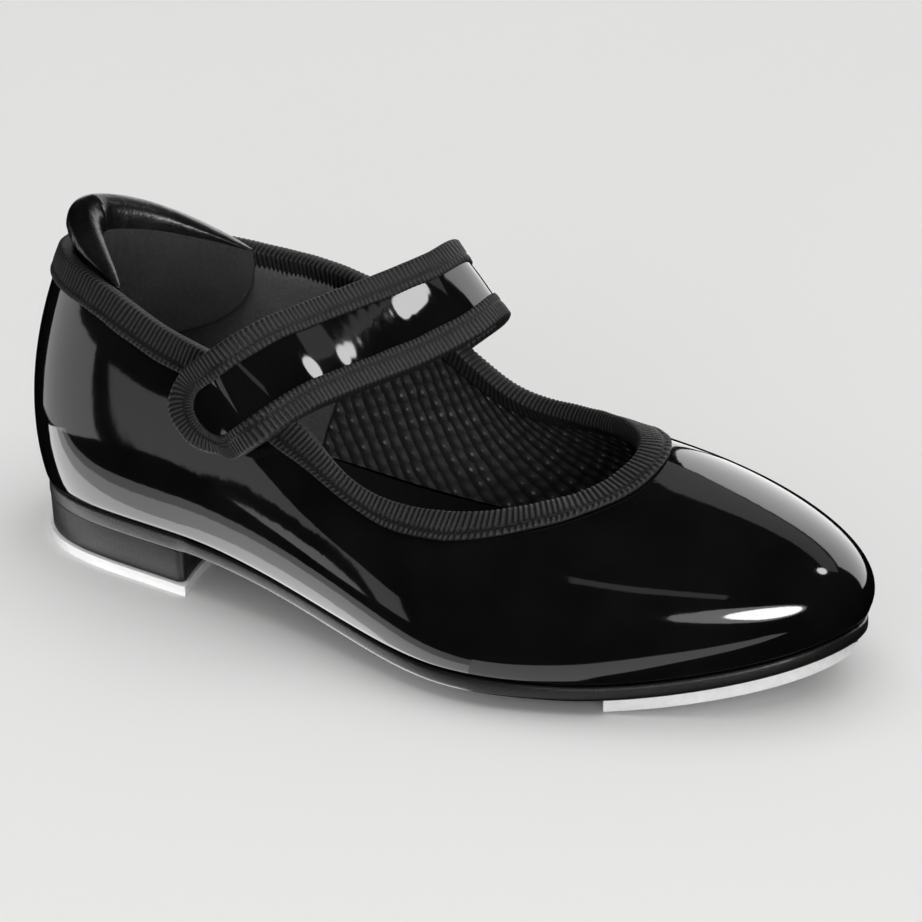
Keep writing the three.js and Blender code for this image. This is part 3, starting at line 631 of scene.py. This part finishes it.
def build_sole():
    piece = plate("outsole_moulded", outsole_inset, lambda x: sole_bottom(x) - 0.22 * over_heel(x), sole_top,
                  OUTSOLE_EDGE, lambda x: 1 - 0.85 * over_heel(x))
    finish(piece, SOLE, "sole_black", "shoe", "outsole")
    # the sock's near-black colour is partly painted shade for the shadow inside the shoe
    piece = plate("sock_cloth_painted_shade", lambda x: 3.9 + 0 * x, lambda x: sole_top(x) + SOCK_LOW,
                  lambda x: sole_top(x) + SOCK_HIGH, SOCK_EDGE)
    finish(piece, SOCK_PAINTED_SHADE, "sock_black", "shoe", "sock_lining")


def round_corners(mesh, radius):
    """rounds the upright corners of a plate or block"""
    work = bmesh.new()
    work.from_mesh(mesh)
    corners = []
    for edge in work.edges:
        way = (edge.verts[1].co - edge.verts[0].co).normalized()
        if abs(way.z) > 0.85 and len(edge.link_faces) == 2 and edge.calc_face_angle() > math.radians(50):
            if edge.calc_length() > 0.7 * MM:
                corners.append(edge)
    bmesh.ops.bevel(work, geom=corners, offset=radius * MM, offset_type="OFFSET", segments=8,
                    profile=0.5, affect="EDGES")
    work.to_mesh(mesh)
    work.free()


def bevelled_copy(node, name, width, radius, material, slot):
    """the solid's own shape with its corners rounded and its edges eased"""
    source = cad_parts[node]
    piece = bpy.data.objects.new(name, source.data.copy())
    bpy.context.scene.collection.objects.link(piece)
    bpy.ops.object.select_all(action="DESELECT")
    piece.select_set(True)
    bpy.context.view_layer.objects.active = piece
    bpy.ops.object.mode_set(mode="EDIT")
    bpy.ops.mesh.select_all(action="SELECT")
    bpy.ops.mesh.remove_doubles(threshold=1e-5)
    bpy.ops.mesh.dissolve_limited(angle_limit=math.radians(1.0))
    bpy.ops.object.mode_set(mode="OBJECT")
    round_corners(piece.data, radius)
    bevel = piece.modifiers.new("eased_edges", "BEVEL")
    bevel.width = width * MM
    bevel.segments = 3
    bevel.limit_method = "ANGLE"
    bevel.angle_limit = math.radians(35)
    bevel.harden_normals = False
    bpy.ops.object.modifier_apply(modifier="eased_edges")
    bpy.ops.object.shade_smooth_by_angle(angle=math.radians(32))
    piece.select_set(False)
    finish(piece, material, slot, "shoe", node)


build_sole()
bevelled_copy("heel_block", "heel_block_stacked", 0.12, 2.4, HEEL, "sole_black")
bevelled_copy("heel_tap", "heel_tap_plate", 0.3, 2.4, TAP, "tap_metal")
bevelled_copy("toe_tap", "toe_tap_plate", 0.5, 1.6, TAP, "tap_metal")


# ---- ribbon over the top edge -------------------------------------------------------------------
def rim_stations(start, end, step):
    t = np.linspace(start, end, 1500)
    rim = wall_points(t, np.zeros((len(t), 1)))[:, 0]
    run = np.concatenate([[0], np.cumsum(np.linalg.norm(np.diff(rim, axis=0), axis=1))])
    count = int(run[-1] / step)
    places = np.linspace(0, run[-1], count)
    return np.interp(places, run, t), places


RIB_LIFT = 0.26


def ribs(run, reach, seam, seed):
    """rib height 0..1 along an edge; past the zigzag seam the ribs are half a pitch on"""
    drift = wobble(seed, 6, 15)(run[:, None], reach * 2.0) * 0.16
    zigzag = seam + 0.3 * np.sign(np.sin(2 * math.pi * run / RIB_PITCH))[:, None]
    phase = (run[:, None] + drift) / RIB_PITCH + 0.5 * (reach > zigzag) + 0.08 * reach
    height = (0.5 + 0.5 * np.cos(2 * math.pi * phase)) ** 0.85
    groove = 1 - 0.75 * np.exp(-(((reach - seam) / 0.32) ** 2))
    return height * groove


def square_to_rim(t, reach, off):
    """points on the wall, reach millimetres from the rim and square to it, off outside the wall"""
    rim = wall_points(t, np.zeros((len(t), 1)))[:, 0]
    below = wall_points(t, np.full((len(t), 1), 2.0))[:, 0]
    along = np.gradient(rim, t, axis=0)
    speed = np.linalg.norm(along, axis=1)
    lean = np.clip(np.sum(unit(below - rim) * along, 1) / speed, -0.8, 0.8)
    stretch = 1 / np.sqrt(1 - lean**2)
    columns = []
    for place in range(reach.shape[1]):
        down = reach[:, place] * stretch
        column = on_wall(t - lean * down / speed, down[:, None], off[:, place, None])
        columns.append(column[:, 0])
    return np.stack(columns, 1)


def build_binding(name, start, end, node, seed):
    t, run = rim_stations(start, end, RIB_PITCH / 7)
    inside = -(WALL_STACK + GAP + RIBBON)
    outside = GAP + RIBBON
    arc = np.linspace(0, math.pi, 10)
    middle, half = (outside + inside) / 2, (outside - inside) / 2
    leg = np.array([RIBBON_LEG, RIBBON_LEG - 0.12, 5.4, 4.9, 4.5, 4.1, 3.6, 2.8, 1.8, 0.6])
    lip = [0.6, 1.6, 2.8, 3.8, 4.2, 4.2, 2.5, -0.2, -0.2, 0.4, 3, 6]
    down = np.concatenate([leg, -0.35 - 0.75 * np.sin(arc), lip])
    off = np.concatenate([[GAP + 0.1], [outside - 0.1], np.full(8, outside), middle + half * np.cos(arc),
                          [inside, inside, inside, inside, inside + 0.3, inside + RIBBON, inside + RIBBON,
                           inside + RIBBON, GAP, GAP, GAP, GAP]])
    shown = np.concatenate([[0.6], np.ones(9), np.ones(10), [1, 1, 1, 1], np.zeros(8)])
    reach = np.broadcast_to(down, (len(t), len(down)))
    rib = ribs(run, reach, 4.3, seed + 40) * shown
    pucker = wobble(seed, 9, 21)(run[:, None], down[None, :] * 1.4) * 0.11 * shown[None, :]
    sway = wobble(seed + 1, 14, 33)(run)[:, None] * 0.2 * (leg_mask(down) > 0)
    points = square_to_rim(t, reach + sway, off[None, :] + RIB_LIFT * rib + pucker)
    piece = sweep(name, points, False, 85, rib=rib)
    finish(piece, RIBBON_BLACK, "ribbon_black", "shoe", node)


def leg_mask(down):
    mask = np.zeros(len(down))
    mask[:3] = 1
    mask[-1] = 1
    return mask


def stitches(name, centres, along, normal, length, thick, body):
    """a row of short threads lying in the cloth"""
    vertices, faces = [], []
    ring = [(math.cos(a), math.sin(a)) for a in np.arange(6) * math.pi / 3]
    profile = [(-0.5, 0.25), (-0.42, 0.8), (-0.15, 1.0), (0.15, 1.0), (0.42, 0.8), (0.5, 0.25)]
    for c, a, n in zip(centres, along, normal):
        side = np.cross(a, n)
        base = len(vertices)
        for place, size in profile:
            sink = -0.35 * thick * (abs(place) > 0.4)
            for u, v in ring:
                across = side * u * size * thick
                vertices.append(c + a * place * length + across + n * (v * size * thick + sink))
        for i in range(len(profile) - 1):
            for k in range(6):
                n2 = (k + 1) % 6
                p, q = base + i * 6, base + (i + 1) * 6
                faces.append((p + k, q + k, q + n2, p + n2))
        faces.append(tuple(base + k for k in range(6)))
        faces.append(tuple(base + 30 + k for k in range(6)))
    piece = new_object(name, vertices, faces, 60)
    return finish(piece, THREAD, "ribbon_black", body)


STITCH = 2.1


def build_rim_stitches(name, start, end):
    t, _ = rim_stations(start, end, STITCH + 0.5)
    down = np.full((len(t), 1), RIBBON_LEG - 0.75)
    centres = on_wall(t, down, np.full_like(down, GAP + RIBBON + 0.1))[:, 0]
    normal = wall_normals(t, down)[:, 0]
    ahead = on_wall(t + 0.01, down, np.full_like(down, 1.0))[:, 0]
    behind = on_wall(t - 0.01, down, np.full_like(down, 1.0))[:, 0]
    stitches(name, centres, unit(ahead - behind), normal, STITCH, 0.16, "shoe")


BINDING_MEET_OUT = 4.43
BINDING_MEET_IN = 15.2
build_binding("topline_ribbon", BINDING_MEET_IN - LOOP, BINDING_MEET_OUT, "topline_binding", 3)
build_binding("throat_ribbon", BINDING_MEET_OUT, BINDING_MEET_IN, "throat_binding", 5)
build_rim_stitches("topline_stitches", BINDING_MEET_IN - LOOP + 0.05, BINDING_MEET_OUT - 0.05)
build_rim_stitches("throat_stitches", BINDING_MEET_OUT + 0.05, BINDING_MEET_IN - 0.05)


# ---- padded collar ------------------------------------------------------------------------------
COLLAR_RISE = 11.0
COLLAR_THICKNESS = 6.4
COLLAR_BULGE = 2.4
COLLAR_SPAN = 1.98
COLLAR_STAND = WALL_STACK + GAP + RIBBON


def closed_curve(points, per_span):
    """smooth closed curve through (n, k, 2) control points"""
    f = np.arange(per_span)[:, None, None] / per_span
    a, b, c, d = (np.roll(points, s, 1) for s in (1, 0, -1, -2))
    rows = []
    for k in range(points.shape[1]):
        p, q, r, s = a[:, k], b[:, k], c[:, k], d[:, k]
        for u in f[:, 0, 0]:
            rows.append(0.5 * (2 * q + (r - p) * u + (2 * p - 5 * q + 4 * r - s) * u * u
                               + (3 * q - p - 3 * r + s) * u**3))
    return np.stack(rows, 1)


def build_collar():
    t = np.linspace(-COLLAR_SPAN, COLLAR_SPAN, 150)
    rim = wall_points(t, np.zeros((len(t), 1)))[:, 0]
    slope = wall_normals(t, np.zeros((len(t), 1)))[:, 0] * (1, 1, 0)
    out = unit(slope)
    fade = np.maximum(0, 1 - (np.abs(t) / COLLAR_SPAN) ** 1.7)
    rise = 0.4 + (COLLAR_RISE - 0.4) * fade
    thick = COLLAR_THICKNESS * (0.02 + 0.98 * fade**0.7)
    bulge = COLLAR_BULGE * fade**0.5
    skirt = -2 - 26 * fade**0.4
    foot = (2 * GAP + RIBBON) * np.minimum(1, fade * 4)
    height = rise - foot
    zero = 0 * t
    seam = foot + 0.42 * height
    outer_side = [(zero, 0.1 * skirt), (-0.3 * bulge, foot), (-bulge, foot + 0.4 * height),
                  (-0.6 * bulge, foot + 0.8 * height), (0.42 * thick, rise)]
    inner_side = [(0.86 * thick, foot + 0.82 * height), (thick, seam), (0.94 * thick, 0.07 * skirt),
                  (0.6 * thick, 0.43 * skirt), (0.15 * thick, 0.8 * skirt), (zero - 0.15, skirt)]
    hidden_side = [(zero - 0.9, 0.86 * skirt), (zero - 0.4, 0.3 * skirt)]
    pairs = outer_side + inner_side + hidden_side
    control = np.stack([np.stack(pair, 1) for pair in pairs], 1)
    curve = closed_curve(control, 7)
    run = np.concatenate([[0], np.cumsum(np.linalg.norm(np.diff(rim, axis=0), axis=1))])
    low = np.exp(-((curve[..., 1] / 2.2) ** 2)) + np.exp(-(((curve[..., 1] - seam[:, None]) / 1.6) ** 2))
    gather = wobble(11, 4.2, 7.0)(run[:, None], curve[..., 1] * 0.3) * 0.16 * low * fade[:, None]
    soft = wobble(12, 17, 28)(run[:, None], curve[..., 1]) * 0.2 * fade[:, None]
    across = curve[..., 0] - (gather + soft) * np.sign(0.45 * thick[:, None] - curve[..., 0])
    points = rim[:, None] - out[:, None] * (COLLAR_STAND + across)[..., None]
    points[..., 2] = rim[:, None, 2] + curve[..., 1]
    piece = sweep("collar_roll", points, False, 80)
    finish(piece, COLLAR, "collar_black", "shoe", "collar_cover", "collar_foam")
    line_collar(piece, 6 * 7 + 2, 10 * 7 + 5, curve.shape[1])


def line_collar(piece, first, final, size):
    """below the seam on its inner side, the roll is covered with a darker copy of the lining's cloth,
    painted shade where the skirt catches more light
    """
    piece.data.materials.append(COLLAR_CLOTH_PAINTED_DARKER)
    for face in piece.data.polygons[: len(piece.data.polygons) - 2]:
        place = face.index % size
        if first <= place < final:
            face.material_index = 1


build_collar()


# ---- strap --------------------------------------------------------------------------------------
STRAP_WIDTH = 22.6
STRAP_ROOT_WIDTH = 20.0
HALF = STRAP_WIDTH / 2
STRAP_FACE = 0.9
STRAP_LINING = 0.8
FACE_LOW = -STRAP_FACE
SLIP_HIGH = FACE_LOW - GAP
SLIP_LOW = SLIP_HIGH - STRAP_LINING
UNDER_HIGH = SLIP_LOW - GAP
UNDER_LOW = UNDER_HIGH - RIBBON
STRAP_STAND = -(UNDER_HIGH - 0.9 - GAP - 0.9) + GAP
ROOT_STAND = -UNDER_LOW + GAP + RIBBON + GAP
HINGE_FROM_END = 11.0
TAPER_FROM = 55.0


def over_seat(x, y, z):
    return np.array((x, y, SEAT_Z + z))


STRAP_PATH = [
    (one_on_wall(3.47, 19, STRAP_STAND + 0.4), (0.66, 0.05, -0.75)),
    (one_on_wall(3.77, 12.2, STRAP_STAND + 0.7), (0.62, -0.03, -0.785)),
    (over_seat(-27.6, -34.2, 40.3), (0.62, -0.1, -0.78)),
    (over_seat(-21.6, -26.2, 45.2), (0.68, -0.16, -0.72)),
    (over_seat(-17.4, -12, 46.4), (0.69, -0.15, -0.71)),
    (over_seat(-12.8, 4.5, 47.2), (0.66, -0.1, -0.74)),
    (over_seat(-9, 19.5, 48.6), (0.65, -0.03, -0.76)),
    (over_seat(-9.2, 30.8, 48.8), (0.66, 0.02, -0.75)),
    (over_seat(-12.4, 36.2, 44.4), (0.72, -0.02, -0.69)),
    (one_on_wall(15.33, 2.5, ROOT_STAND + 1.9), (0.76, 0, -0.65)),
    (one_on_wall(15.56, 12.5, ROOT_STAND + 0.7), (0.76, 0, -0.65)),
]


def through(points):
    """uniform Catmull-Rom curve of u in 0..1 through the points, with straight ends"""
    rows = np.array(points, float)
    rows = np.concatenate([[2 * rows[0] - rows[1]], rows, [2 * rows[-1] - rows[-2]]])
    spans = len(points) - 1

    def at(u):
        p = np.clip(np.asarray(u, float), 0, 1) * spans
        i = np.minimum(np.floor(p).astype(int), spans - 1)
        f = (p - i)[..., None]
        a, b, c, d = rows[i], rows[i + 1], rows[i + 2], rows[i + 3]
        bend = (2 * a - 5 * b + 4 * c - d) * f * f
        return 0.5 * (2 * b + (c - a) * f + bend + (3 * b - a - 3 * c + d) * f**3)

    return at


spine_at = through([p for p, _ in STRAP_PATH])
breadth_at = through([w for _, w in STRAP_PATH])
SPINE_U = np.linspace(0, 1, 1201)
SPINE_RUN = np.concatenate([[0], np.cumsum(np.linalg.norm(np.diff(spine_at(SPINE_U), axis=0), axis=1))])
STRAP_LENGTH = float(SPINE_RUN[-1])
HINGE_S = STRAP_LENGTH - HINGE_FROM_END


def strap_points(s, q, n):
    """points at s from the free end, q across to the toe and n outward; arrays of one shape"""
    s, q, n = np.broadcast_arrays(s, q, n)
    u = np.interp(s, SPINE_RUN, SPINE_U)
    along = unit(spine_at(np.minimum(1, u + 0.01)) - spine_at(np.maximum(0, u - 0.01)))
    raw = breadth_at(u)
    across = unit(raw - along * (raw * along).sum(-1, keepdims=True))
    outward = np.cross(across, along)
    return spine_at(u) + across * q[..., None] + outward * n[..., None]


def half_at(s):
    narrowing = (STRAP_WIDTH - STRAP_ROOT_WIDTH) / 2
    return HALF - narrowing * smooth((s - TAPER_FROM) / (HINGE_S - TAPER_FROM))


def layer_half(s, clear):
    radius = HALF - clear
    d = s - clear
    bend = np.sqrt(np.maximum(0.05, radius**2 - (radius - np.minimum(d, radius)) ** 2))
    return np.where(d >= radius, half_at(s) - clear, bend)


# the middle of the strap's fold, the line the strap turns about
FOLD = Vector(strap_points(HINGE_S, 0.0, 1.2))


def across_fold(piece, material, slot, *nodes):
    finish(piece, material, slot, None, *nodes)
    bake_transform(piece)


def strap_sheet(name, high, low, clear, crown, creases):
    bend = clear + 0.1 + (HALF - clear) * (1 - np.cos(np.linspace(0, math.pi / 2, 16)))
    s = np.concatenate([bend[:-1], np.arange(HALF, STRAP_LENGTH, 0.55)])
    c = np.linspace(-1, 1, 21)
    half = layer_half(s, clear)[:, None]
    top = high + crown * (1 - c[None, :] ** 2) * np.minimum(1, half / 6)
    crease = wobble(21, 3.4, 6.5)(s[:, None], c[None, :] * half * 0.25)
    fine = wobble(22, 1.7)(s[:, None], c[None, :] * half * 0.5)
    top = top + creases * (np.minimum(crease, 0.5) + 0.25 * fine)
    front = strap_points(s[:, None], c[None, :] * half, top)
    back = strap_points(s[:, None], c[None, ::-1] * half, np.full((1, 21), low))
    return sweep(name, np.concatenate([front, back], 1), False, 50)


def edge_run():
    """path round the strap's edge: s, q and the way out of it (ds, dq), evenly by length"""
    straight = np.arange(HALF, STRAP_LENGTH - 0.2, RIB_PITCH / 7)
    turn = np.arange(RIB_PITCH / 12, math.pi * HALF, RIB_PITCH / 7) / HALF
    angle = -math.pi / 2 - turn
    s = np.concatenate([straight[::-1], HALF + HALF * np.cos(angle), straight])
    q = np.concatenate([-half_at(straight[::-1]), HALF * np.sin(angle), half_at(straight)])
    ds = np.concatenate([0 * straight, np.cos(angle), 0 * straight])
    dq = np.concatenate([0 * straight - 1, np.sin(angle), 0 * straight + 1])
    return s, q, ds, dq


def build_strap_ribbon():
    s, q, ds, dq = edge_run()
    over, under = GAP + RIBBON, UNDER_LOW
    middle, half = (over + under) / 2, (over - under) / 2
    arc = np.linspace(0.12, math.pi - 0.12, 9)
    upper_leg = [RIBBON_LEG, RIBBON_LEG - 0.1, 5.2, 4.6, 4.2, 3.9, 3.5, 3.0, 2.2, 1.3]
    lower_leg = [1.3, 2.6, 4.0, 5.2, RIBBON_LEG, RIBBON_LEG, 3, RIBBON + 0.2]
    inside_of_fold = [RIBBON + 0.2, 3, RIBBON_LEG]
    inward = np.concatenate([upper_leg, 0.8 - 0.8 * np.sin(arc), lower_leg, inside_of_fold])
    level = np.concatenate([[GAP - 0.1, over - 0.1], np.full(8, over), middle + half * np.cos(arc),
                            [under, under, under, under, under, UNDER_HIGH, UNDER_HIGH, UNDER_HIGH + 0.1,
                             GAP - 0.1, GAP - 0.05, GAP - 0.1]])
    shown = np.concatenate([[0.5], np.ones(9), np.ones(9), np.ones(5), np.zeros(6)])
    run = np.arange(len(s)) * RIB_PITCH / 7
    outer = np.arange(len(level)) < 15
    rib = ribs(run, np.broadcast_to(inward, (len(s), len(inward))), 3.9, 71) * shown
    lift = np.where(outer, 1.0, -1.0) * RIB_LIFT * rib
    pucker = wobble(31, 8, 19)(run[:, None], inward[None, :] * 1.3) * 0.1 * shown
    sway = wobble(32, 13, 30)(run)[:, None] * 0.14 * (inward > 5)[None, :]
    reach = inward[None, :] + sway
    points = strap_points(s[:, None] - ds[:, None] * reach, q[:, None] - dq[:, None] * reach,
                          level[None, :] + lift + pucker)
    piece = sweep("strap_ribbon", points, False, 85, rib=rib)
    across_fold(piece, RIBBON_BLACK, "ribbon_black", "strap_binding", "strap_root")


def build_strap_end():
    """the ribbon folded over the cut inner end of the strap and sewn flat to the upper"""
    half = half_at(STRAP_LENGTH) + 0.3
    q = np.linspace(-half, half, 150)
    top, low = GAP + RIBBON + 0.15, UNDER_LOW - 0.9
    middle, high = (top + low) / 2, (top - low) / 2
    turn = np.linspace(-math.pi / 2, math.pi / 2, 9)
    back = np.array([2.0, 3.0, 3.8, 4.4, 5.2, 5.9])
    s = STRAP_LENGTH - np.concatenate([1.2 - 1.15 * np.cos(turn), back, [6.0, 6.0], back[::-1]])
    n = np.concatenate([high * np.sin(turn), np.full(6, high), [high - 0.4, 0.4 - high], np.full(6, -high)])
    rounding = np.sqrt(1 - (0.995 * q / half) ** 12)[:, None]
    reach = np.broadcast_to(STRAP_LENGTH - s, (len(q), len(s)))
    rib = ribs(q + half, reach, 4.0, 77)
    level = middle + n[None, :] * rounding + np.sign(n)[None, :] * RIB_LIFT * rib * rounding
    piece = sweep("strap_end_ribbon", strap_points(s[None, :], q[:, None], level), False, 85, rib=rib)
    finish(piece, RIBBON_BLACK, "ribbon_black", "shoe")


def build_strap_stitches():
    s, q, ds, dq = edge_run()
    pick = slice(6, None, int(round((STITCH + 0.5) / (RIB_PITCH / 7))))
    reach = RIBBON_LEG - 0.8
    level = GAP + RIBBON + 0.1
    s0, q0 = s - ds * reach, q - dq * reach
    centres = strap_points(s0, q0, np.full_like(s, level))
    above = strap_points(s0, q0, np.full_like(s, level + 1))
    along = unit(np.gradient(centres, axis=0))
    piece_points = centres[pick], along[pick], unit(above - centres)[pick]
    keep = s0[pick] < HINGE_S - 7
    stitches("strap_stitches", *(part[keep] for part in piece_points), STITCH, 0.16, "strap")


across_fold(strap_sheet("strap_patent_face", 0.0, FACE_LOW, RIBBON + GAP, 0.6, 0.006), STRAP_PATENT,
            "patent_black", "strap_face")
# the strap's slip takes the brighter copy of the lining cloth, painted light
across_fold(strap_sheet("strap_slip", SLIP_HIGH, SLIP_LOW, RIBBON + GAP, 0.0, 0.0), LINING_PAINTED_LIGHTER,
            "lining_charcoal", "strap_lining")
build_strap_ribbon()
build_strap_end()
build_strap_stitches()

# ---- carried-over solids ------------------------------------------------------------------------
for name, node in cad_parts.items():
    kept = {"insole_board": BOARD, "forefoot_filler": BOARD, "heel_counter": BOARD, "toe_puff": BOARD,
            "shank": STEEL, "hook_patch": HOOKS, "loop_patch": HOOKS}
    material = STEEL if "screw" in name or "nail" in name else kept.get(name)
    if material:
        for slot in node.material_slots:
            slot.material = material


# ---- floor, light and camera --------------------------------------------------------------------
def build_floor():
    bpy.ops.mesh.primitive_plane_add(size=1, location=(0, 0, 0))
    floor = bpy.context.object
    floor.name = "floor"
    points, faces = [], []
    cove = [(1.6 + 0.8 * math.sin(a), 0.8 - 0.8 * math.cos(a)) for a in np.linspace(0, 1.57, 14)]
    bends = [(-3.0, 0.0)] + cove + [(2.4, 3.2)]
    for y, z in bends:
        points += [(-4, y, z), (4, y, z)]
    for i in range(len(bends) - 1):
        faces.append((2 * i, 2 * i + 1, 2 * i + 3, 2 * i + 2))
    floor.data.clear_geometry()
    floor.data.from_pydata(points, [], faces)
    floor.data.shade_smooth()
    turn = Matrix.Rotation(AZIMUTH, 4, "Z")
    floor.data.transform(turn)
    f = Finish("pale_floor", Roughness=0.9, Specular_IOR_Level=0.05)
    f.use("Base Color", f.mix(f.noise(3).ramp(0.4, 0.6), (0.8, 0.8, 0.8, 1), (0.81, 0.81, 0.81, 1)))
    floor.data.materials.append(f.material)
    floor.visible_glossy = False
    floor.select_set(False)


def add_panel(name, place, aim, size, brightness, shape="RECTANGLE", gloss=True, diffuse=True):
    """a studio panel; brightness is its radiance, so its look in the gloss doesn't change with size"""
    data = bpy.data.lights.new(name, "AREA")
    data.shape = shape
    data.size, data.size_y = size
    area = size[0] * size[1] * (math.pi / 4 if shape == "ELLIPSE" else 1)
    data.energy = brightness * math.pi * area
    light = bpy.data.objects.new(name, data)
    bpy.context.scene.collection.objects.link(light)
    light.location = place
    light.rotation_euler = (Vector(aim) - Vector(place)).to_track_quat("-Z", "Y").to_euler()
    light.visible_camera = False
    light.visible_glossy = gloss
    light.visible_diffuse = diffuse


def panel_towards(name, target, azimuth, elevation, distance, size, brightness, **how):
    """a panel seen from target in the given direction"""
    a, e = math.radians(azimuth), math.radians(elevation)
    way = Vector((math.cos(e) * math.cos(a), math.cos(e) * math.sin(a), math.sin(e)))
    add_panel(name, Vector(target) + way * distance, target, size, brightness, **how)


AZIMUTH = math.radians(31.87)
ELEVATION = math.radians(22.73)
CAMERA_PLACE = Vector((554.068, -881.484, 468.792))
LENS = 207.01


def build_camera():
    right = Vector((math.cos(AZIMUTH), math.sin(AZIMUTH), 0))
    back = Vector((math.cos(ELEVATION) * math.sin(AZIMUTH), -math.cos(ELEVATION) * math.cos(AZIMUTH),
                   math.sin(ELEVATION)))
    up = back.cross(right)
    data = bpy.data.cameras.new("camera")
    data.lens = LENS
    data.sensor_width = 36
    data.clip_end = 20
    camera = bpy.data.objects.new("camera", data)
    bpy.context.scene.collection.objects.link(camera)
    turned = Matrix((right, up, back)).transposed().to_4x4()
    camera.matrix_world = Matrix.Translation((CAMERA_PLACE + SHIFT) * MM) @ turned
    bpy.context.scene.camera = camera


def build_world():
    world = bpy.data.worlds.new("studio")
    bpy.context.scene.world = world
    world.use_nodes = True
    world.node_tree.nodes["Background"].inputs["Color"].default_value = (0.97, 0.96, 0.95, 1)
    world.node_tree.nodes["Background"].inputs["Strength"].default_value = 0.46
    world.cycles_visibility.glossy = False


build_floor()
build_camera()
build_world()
add_panel("overhead", (0.1, 0.1, 1.6), (0, 0, 0), (2.2, 1.8), 1.4, gloss=False)
add_panel("front_fill", (0.5, -1.2, 0.35), (0, 0, 0.02), (1.8, 0.8), 1.8, gloss=False)
add_panel("rear_wall", (0.27, 1.28, 0.62), (0.27, 0, 0.62), (1.45, 1.3), 3.0, diffuse=False)
add_panel("rear_wall_low", (-1.0, 1.28, 0.36), (-1.0, 0, 0.36), (1.05, 0.78), 2.6, diffuse=False)
add_panel("rear_wall_top", (0.1, 1.2, 1.6), (0, 0, 0.9), (2.4, 0.5), 0.6, diffuse=False)
panel_towards("toe_light", (0.089, -0.012, 0.024), -38, 22, 0.9, (0.6, 0.26), 22, shape="ELLIPSE",
              diffuse=False)
panel_towards("toe_halo", (0.089, -0.012, 0.024), -42, 22, 0.92, (0.85, 0.36), 3, shape="ELLIPSE",
              diffuse=False)
panel_towards("strap_light", (-0.013, 0.006, 0.061), 31, 46, 1.0, (0.125, 0.12), 13, shape="ELLIPSE",
              diffuse=False)
panel_towards("left_card", (-0.08, -0.015, 0.045), -163, -10, 0.5, (0.44, 0.21), 1.5, diffuse=False)
panel_towards("left_card_near", (-0.08, -0.015, 0.045), -127, -9, 0.5, (0.11, 0.17), 0.9, diffuse=False)
panel_towards("streak", (0.06, -0.02, 0.03), -70, 45, 1.0, (0.4, 0.09), 0.6, diffuse=False)
for edge, width, brightness in [(0.020, 0.020, 4.5), (0.040, 0.010, 2.4), (0.050, 0.008, 1.1)]:
    middle = -edge - width / 2
    add_panel("table_heel", (-0.07, middle, -0.003), (-0.07, middle, 1), (0.2, width), brightness,
              diffuse=False)
add_panel("table_toe", (0.09, -0.049, -0.003), (0.09, -0.049, 1), (0.12, 0.022), 1.4, diffuse=False)
bpy.context.scene.view_settings.view_transform = "Standard"
